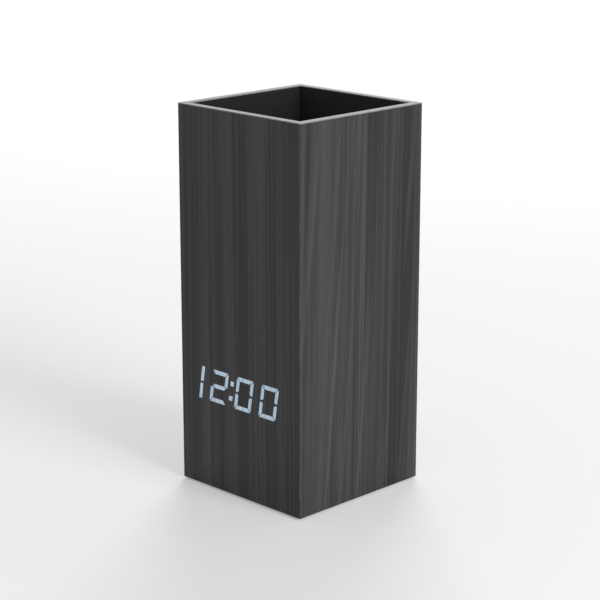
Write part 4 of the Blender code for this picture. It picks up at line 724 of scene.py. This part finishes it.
def makeSpring(name, side, start, end, y, z):    # a coil along X, drawn as a curve and made a mesh
    values = contactValues
    wide, narrow = values["springRadii"]
    count = values["turns"] * values["stepsPerTurn"]
    curve = bpy.data.curves.new(name, "CURVE")
    curve.dimensions = "3D"
    curve.bevel_depth = values["wire"] / 2 * mm
    curve.bevel_resolution = 3
    curve.use_fill_caps = True
    spline = curve.splines.new("POLY")
    spline.points.add(count)
    half = values["wire"] / 2 * mm
    flat = values["flatShare"]    # the first and last turns lie nearly flat
    for step in range(count + 1):
        share = step / count
        rise = min(max((share - flat) / (1 - 2 * flat), 0), 1)
        radius = (wide + (narrow - wide) * share) * mm
        turn = 2 * math.pi * values["turns"] * share
        x = start - side * half + (end - start + side * 2 * half) * rise
        spline.points[step].co = (x, y + radius * math.cos(turn), z + radius * math.sin(turn), 1)
    piece = bpy.data.objects.new(name, curve)
    bpy.context.collection.objects.link(piece)
    useOnly(piece)
    bpy.ops.object.convert(target="MESH")
    return bpy.context.object


def makeContact(name, side, rows):
    values = contactValues
    low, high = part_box(name)
    wall = high.x if side > 0 else low.x
    face = wall - side * values["thickness"] * mm
    end = low.x if side > 0 else high.x    # where the cell's end is
    z = (low.z + high.z) / 2
    size = (values["thickness"] * mm, high.y - low.y, high.z - low.z)
    plate = addBlock(((wall + face) / 2, (low.y + high.y) / 2, z), size)
    roundCorners(plate, 0, values["cornerRadius"])
    addBevel(plate, values["plateEdge"], 1)
    parts = [plate]
    springs = []
    for row, kind in rows.items():
        y = row * values["cellPitch"] * mm
        if kind == "spring":
            springs.append(makeSpring(name + "_coil", side, face, end, y, z))
        else:
            radius, rim, dimple, edge = values["stud"]
            stud = addBar(((face + end) / 2, y, z), (-side, 0, 0), radius, abs(face - end))
            stepFaces(stud, (-side, 0, 0), [(rim, -dimple)])
            addBevel(stud, edge, 3)
            parts.append(stud)
    joinPieces(parts)
    finishPiece(plate, name + "_plate", metals["nickelPlatedStrip"], "case")
    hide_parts(name)
    for spring in springs:
        finishPiece(spring, name + "_spring", metals["nickelPlatedWire"], "case")
        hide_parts(name)


for name, (side, rows) in contactValues["nodes"].items():
    makeContact(name, side, rows)
print("battery contacts done")


# Plus and minus signs moulded inside the battery door, one at each end of each cell
signValues = {"doorThickness": 1.6, "fromMiddle": 19.0, "rows": (-11.0, 0.0, 11.0), "bar": 0.7, "arm": 1.1,
              "height": 0.25, "sink": 0.05, "edge": 0.06}


def makeDoorSign(name, x, y, isPlus):
    values = signValues
    low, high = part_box("battery_door")
    inner = low.z + values["doorThickness"] * mm
    rise = (values["height"] + values["sink"]) * mm
    place = (x * mm, y * mm, inner - values["sink"] * mm + rise / 2)
    piece = addBlock(place, (values["bar"] * mm, values["bar"] * mm, rise))
    directions = [(0, 1, 0), (0, -1, 0)] + ([(1, 0, 0), (-1, 0, 0)] if isPlus else [])
    for direction in directions:
        stepFaces(piece, direction, [(0, values["arm"])], place, values["bar"] / 2)
    addBevel(piece, values["edge"], 2)
    finishPiece(piece, name, plastics["texturedAbs"], "battery_door")


for number, y in enumerate(signValues["rows"]):
    tip = 1 if number != 1 else -1
    reach = signValues["fromMiddle"]
    makeDoorSign("door_plus_" + str(number + 1), tip * reach, y, True)
    makeDoorSign("door_minus_" + str(number + 1), -tip * reach, y, False)
print("door signs done")


# Battery cells: a lip of sleeve round each end, a stepped cap with its tip, and a flat base with a
# pressed ring
shellValues = {"lip": 0.5, "lipDepth": 0.2, "shoulder": 1.75, "shoulderRise": 0.35, "tipRadius": 1.8,
               "tipLength": 1.1, "ring": 0.6, "ringDepth": 0.15, "edge": 0.12}


def makeCell(name, tipSide):
    values = shellValues
    low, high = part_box(name)
    middle = (low + high) / 2
    radius = (high.z - low.z) / 2 / mm
    tipLength = values["tipLength"] * mm
    place = (middle.x - tipSide * tipLength / 2, middle.y, middle.z)
    piece = addBar(place, (tipSide, 0, 0), radius, high.x - low.x - tipLength)
    ring, depth = values["ring"], values["ringDepth"]
    stepFaces(piece, (-tipSide, 0, 0), [(ring, -depth), (ring, depth)])
    lip, shoulder = values["lip"], values["shoulder"]
    toTip = radius - lip - shoulder - values["tipRadius"]
    lastRise = values["tipLength"] + values["lipDepth"] - values["shoulderRise"]
    steps = [(lip, -values["lipDepth"]), (shoulder, values["shoulderRise"]), (toTip, lastRise)]
    stepFaces(piece, (tipSide, 0, 0), steps, middle, values["edge"])
    addBevel(piece, values["edge"], 2)
    finishPiece(piece, name + "_shell", cellSleeves[tipSide], "case")
    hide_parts(name)


for number, tipSide in enumerate((1, -1, 1)):
    makeCell("battery_cell_" + str(number + 1), tipSide)
print("cells done")


# Chip legs, stepped down to the board: rows on the sides that turns names, in degrees about the chip
legValues = {"width": 0.34, "thickness": 0.13, "sink": 0.2, "shoulder": 0.35, "rise": 0.75, "slope": 0.18,
             "foot": 0.55, "lift": 0.02,
             "controllerRow": (10, 0.8), "driverRow": (7, 1.27),    # how many legs in a row, and their pitch
             "driverPlace": (-14.7, 43), "driverReach": 2.0}


def makeChipLegs(name, centre, reach, side, turns, count, pitch):    # centre lies on the board's face
    values = legValues
    length = values["sink"] + values["shoulder"]
    out = reach - values["sink"] + length / 2
    place = Vector(toMetres(out, side * values["rise"], -(count - 1) / 2 * pitch))
    leg = addBlock(place, toMetres(length, values["thickness"], values["width"]))
    bpy.ops.object.transform_apply(location=True, rotation=False, scale=False)
    drop = values["rise"] - values["thickness"] / 2 - values["lift"]
    selectFaces(leg, (1, 0, 0))
    for run, fall in ((values["slope"], drop), (values["foot"], 0)):
        extrudeBy(run, -side * fall, 0)
    bpy.ops.object.mode_set(mode="OBJECT")
    addRow(leg, count, (0, 0, pitch))
    rows = [leg]
    for turn in turns[1:]:
        useOnly(leg)
        bpy.ops.object.duplicate()
        rows.append(bpy.context.object)
    for row, turn in zip(rows, turns):
        row.rotation_euler = (0, math.radians(turn), 0)
        row.location = centre
        useOnly(row)
        bpy.ops.object.transform_apply(location=True, rotation=True, scale=False)
    piece = joinPieces(rows)
    finishPiece(piece, name, metals["tinnedCopper"], "case")


# Small parts soldered to the two boards: each row gives x and z in mm, and whether it stands upright
smallPartValues = {
    "size": (2.0, 0.6, 1.25),
    "cap": 0.42,
    "proud": 0.03,
    "seat": 0.02,
    "edge": 0.05,
    "main_capacitors": ((-12.2, 44.0, True), (-9.6, 44.0, True), (-5.6, 42.6, False), (13.2, 41.6, True)),
    "main_resistors": ((-16.2, 36.5, False), (-16.2, 33.8, False), (-16.2, 31.1, False), (-10.6, 26.2, False),
                       (-6.6, 26.2, False), (-2.4, 26.2, False)),
    "display_capacitors": ((-14.7, 48.4, False), (-7.2, 43.0, True)),
    "display_resistors": tuple((-5 + 3 * number, 38.0, True) for number in range(8)),
}


def makeSmallParts(name, material, face, side):
    values = smallPartValues
    length, height, width = values["size"]
    level = face + side * (values["seat"] + height / 2) * mm
    bodies, caps = [], []
    for x, z, upright in values[name]:
        size = (width, height, length) if upright else (length, height, width)
        body = addBlock((x * mm, level, z * mm), toMetres(*size))
        addBevel(body, values["edge"], 1)
        bodies.append(body)
        for end in (-1, 1):
            shift = end * (length - values["cap"]) / 2
            place = ((x + (0 if upright else shift)) * mm, level, (z + (shift if upright else 0)) * mm)
            grown = [edge + 2 * values["proud"] for edge in (values["cap"], height, width)]
            size = (grown[2], grown[1], grown[0]) if upright else grown
            cap = addBlock(place, toMetres(*size))
            addBevel(cap, values["edge"], 1)
            caps.append(cap)
    finishPiece(joinPieces(bodies), name, material, "case")
    finishPiece(joinPieces(caps), name + "_ends", metals["tinnedCopper"], "case")


# Crystal in a drawn can on a thin flange, and two electrolytic capacitors in sleeved cans
canValues = {
    "crystal": ((5.0, 43.4), (10.4, 3.2, 4.4), 1.9, 0.35),    # place, size, corner and edge
    "flange": (0.5, 0.4),    # reach and thickness
    "sleeved": ((13.4, 47.2), (13.4, 52.4)),
    "radius": 2.0,
    "length": 5.0,
    "lip": 0.35,
    "lipDepth": 0.12,
    "edge": 0.2,
    "seat": 0.05,
}


def makeCans(face, side):
    values = canValues
    (x, z), (width, height, depth), corner, edge = values["crystal"]
    reach, thickness = values["flange"]
    crystal = []
    for size in ((width, height, depth), (width + reach, thickness, depth + reach)):
        place = (x * mm, face + side * (values["seat"] + size[1] / 2) * mm, z * mm)
        block = addBlock(place, toMetres(*size))
        roundCorners(block, 1, corner)
        addBevel(block, min(edge, thickness / 3), 2)    # an edge that the thin flange can take
        crystal.append(block)
    finishPiece(joinPieces(crystal), "crystal_can", metals["drawnAluminium"], "case")
    sleeves, ends = [], []
    for x, z in values["sleeved"]:
        place = Vector((x * mm, face + side * (values["seat"] + values["length"] / 2) * mm, z * mm))
        sleeve = addBar(place, (0, side, 0), values["radius"], values["length"] * mm)
        stepFaces(sleeve, (0, side, 0), [(values["lip"], -values["lipDepth"])])
        addBevel(sleeve, values["edge"], 2)
        sleeves.append(sleeve)
        top = place + Vector((0, side * (values["length"] / 2 - values["lipDepth"]) * mm, 0))
        radius = values["radius"] - values["lip"] - values["seat"]
        end = addBar(top, (0, side, 0), radius, values["lipDepth"] * mm)
        selectFaces(end, (0, side, 0))
        bpy.ops.mesh.inset(thickness=values["lip"] * mm, depth=values["seat"] * mm)
        bpy.ops.object.mode_set(mode="OBJECT")
        ends.append(end)
    pet = plastics["shrunkPetSleeve"]
    finishPiece(joinPieces(sleeves), "electrolytic_cans", pet, "case")
    finishPiece(joinPieces(ends), "electrolytic_tops", metals["drawnAluminium"], "case")


# Steel plate over each button's switch, with a hole for the plunger and a rivet near each corner
coverValues = {"inset": 0.15, "thickness": 0.14, "corner": 0.4, "hole": 1.75, "rivet": 0.42, "rivetRise": 0.1,
               "rivetInset": 0.85, "edge": 0.04}


def makeSwitchCover(name):
    values = coverValues
    low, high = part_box("switch_" + name)
    x, z = (low.x + high.x) / 2, (low.z + high.z) / 2
    half = (high.x - low.x) / 2 - values["inset"] * mm
    thickness = values["thickness"] * mm
    plate = addBlock((x, high.y + thickness / 2, z), (2 * half, thickness, 2 * half))
    roundCorners(plate, 1, values["corner"])
    drill = addBar((x, high.y, z), (0, 1, 0), values["hole"], 10 * thickness)    # well through the plate
    hole = plate.modifiers.new("hole", "BOOLEAN")
    hole.object = drill
    applyModifier(plate, hole)
    bpy.data.objects.remove(drill)
    parts = [plate]
    out = half - values["rivetInset"] * mm
    rise = (values["thickness"] + values["rivetRise"]) * mm
    for across in (-out, out):
        for up in (-out, out):
            rivet = addBar((x + across, high.y + rise / 2, z + up), (0, 1, 0), values["rivet"], rise)
            addBevel(rivet, values["edge"], 2)
            parts.append(rivet)
    finishPiece(joinPieces(parts), "switch_" + name + "_cover", metals["nickelPlatedStrip"], "case")


def makeBoardParts():
    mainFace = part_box("main_pcb")[0].y    # parts stand on its inner side
    low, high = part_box("controller_chip")
    centre = ((low.x + high.x) / 2, mainFace, (low.z + high.z) / 2)
    reach = (high.x - low.x) / 2 / mm
    makeChipLegs("controller_chip_legs", centre, reach, -1, (0, 90, 180, 270), *legValues["controllerRow"])
    makeSmallParts("main_capacitors", plastics["firedCeramic"], mainFace, -1)
    makeSmallParts("main_resistors", plastics["mouldedEpoxy"], mainFace, -1)
    makeCans(mainFace, -1)
    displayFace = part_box("display_pcb")[1].y - boardValues["chipHeight"] * mm    # on its inner side too
    x, z = legValues["driverPlace"]
    centre = (x * mm, displayFace, z * mm)
    makeChipLegs("driver_chip_legs", centre, legValues["driverReach"], 1, (90, 270), *legValues["driverRow"])
    makeSmallParts("display_capacitors", plastics["firedCeramic"], displayFace, 1)
    makeSmallParts("display_resistors", plastics["mouldedEpoxy"], displayFace, 1)
    for name in ("set", "up", "down"):
        makeSwitchCover(name)


makeBoardParts()
print("board parts done")


# Floor, lights and camera
stageValues = {
    "floorSize": 8.0,
    "floorColour": "#e4e4e4",
    "floorGlow": 0.28,
    "white": (0.25, 1.3),
    "ambient": 0.32,
    "softboxes": {    # place, size and power
        "key": ((1.4, 0.0, 0.6), 0.8, 14.5),
        "back": ((-0.9, 1.1, 1.0), 0.9, 13.0),
    },
    "azimuth": 45.0,
    "distance": 0.712,
    "height": 0.268,
    "aim": (0, 0, 0.074),
    "lens": 113.0,
}


def seenDirectly(tree):    # 1 for rays from the camera, and for those off or through smooth surfaces
    rays = addNode(tree, "LightPath").outputs
    links = {0: rays["Is Camera Ray"], 1: rays["Is Glossy Ray"]}
    seen = addNode(tree, "Math", {"operation": "MAXIMUM"}, links)
    return addNode(tree, "Math", {"operation": "MAXIMUM"}, {0: seen, 1: rays["Is Transmission Ray"]})


def makeFloor():
    values = stageValues
    bpy.ops.object.select_all(action="DESELECT")
    bpy.ops.mesh.primitive_plane_add(size=values["floorSize"], location=(0, 0, 0))
    floor = bpy.context.object
    floor.name = "floor"
    material, tree, place = newMaterial("paperSweep")
    seen = seenDirectly(tree)
    strength = addNode(tree, "Math", {"operation": "MULTIPLY", 1: values["floorGlow"]}, {0: seen})
    glow = addNode(tree, "Emission", {"Color": "#ffffff"}, {"Strength": strength})
    paper = addNode(tree, "BsdfDiffuse", {"Color": values["floorColour"]})
    both = addNode(tree, "AddShader", links={0: glow, 1: paper})
    away = addNode(tree, "VectorMath", {"operation": "LENGTH"}, {0: place}).outputs["Value"]
    start, full = values["white"]    # far from the object the sweep runs out into white
    settings = {"interpolation_type": "SMOOTHSTEP", "From Min": start, "From Max": full}
    far = addNode(tree, "MapRange", settings, {"Value": away})
    share = addNode(tree, "Math", {"operation": "MULTIPLY"}, {0: far, 1: seen})
    white = addNode(tree, "Emission", {"Color": "#ffffff"})
    sweep = addNode(tree, "MixShader", links={0: share, 1: both, 2: white})
    addNode(tree, "OutputMaterial", links={"Surface": sweep})
    floor.data.materials.append(material)


def makeWorld():
    world = bpy.data.worlds.new("studio")
    bpy.context.scene.world = world
    world.use_nodes = True
    tree = world.node_tree
    tree.nodes.clear()
    seen = seenDirectly(tree)
    around = addNode(tree, "Background", {"Color": "#ffffff", "Strength": stageValues["ambient"]})
    white = addNode(tree, "Background", {"Color": "#ffffff", "Strength": 1.0})
    either = addNode(tree, "MixShader", links={0: seen, 1: around, 2: white})
    addNode(tree, "OutputWorld", links={"Surface": either})


def makeLights():
    for name, (place, size, power) in stageValues["softboxes"].items():
        bpy.ops.object.light_add(type="AREA", location=place)
        light = bpy.context.object
        light.name = name
        light.data.shape = "DISK"
        light.data.size = size
        light.data.energy = power
        aim = Vector(stageValues["aim"]) - Vector(place)
        light.rotation_euler = aim.to_track_quat("-Z", "Y").to_euler()


def makeCamera():
    turn = math.radians(stageValues["azimuth"])
    reach = stageValues["distance"]
    place = Vector((math.sin(turn) * reach, -math.cos(turn) * reach, stageValues["height"]))
    bpy.ops.object.camera_add(location=place)
    camera = bpy.context.object
    camera.data.lens = stageValues["lens"]
    camera.data.sensor_width = 36
    camera.data.clip_start = 0.01
    camera.rotation_euler = (Vector(stageValues["aim"]) - place).to_track_quat("-Z", "Y").to_euler()
    bpy.context.scene.camera = camera


makeFloor()
makeWorld()
makeLights()
makeCamera()
bpy.context.scene.view_settings.view_transform = "Standard"
print("stage done")
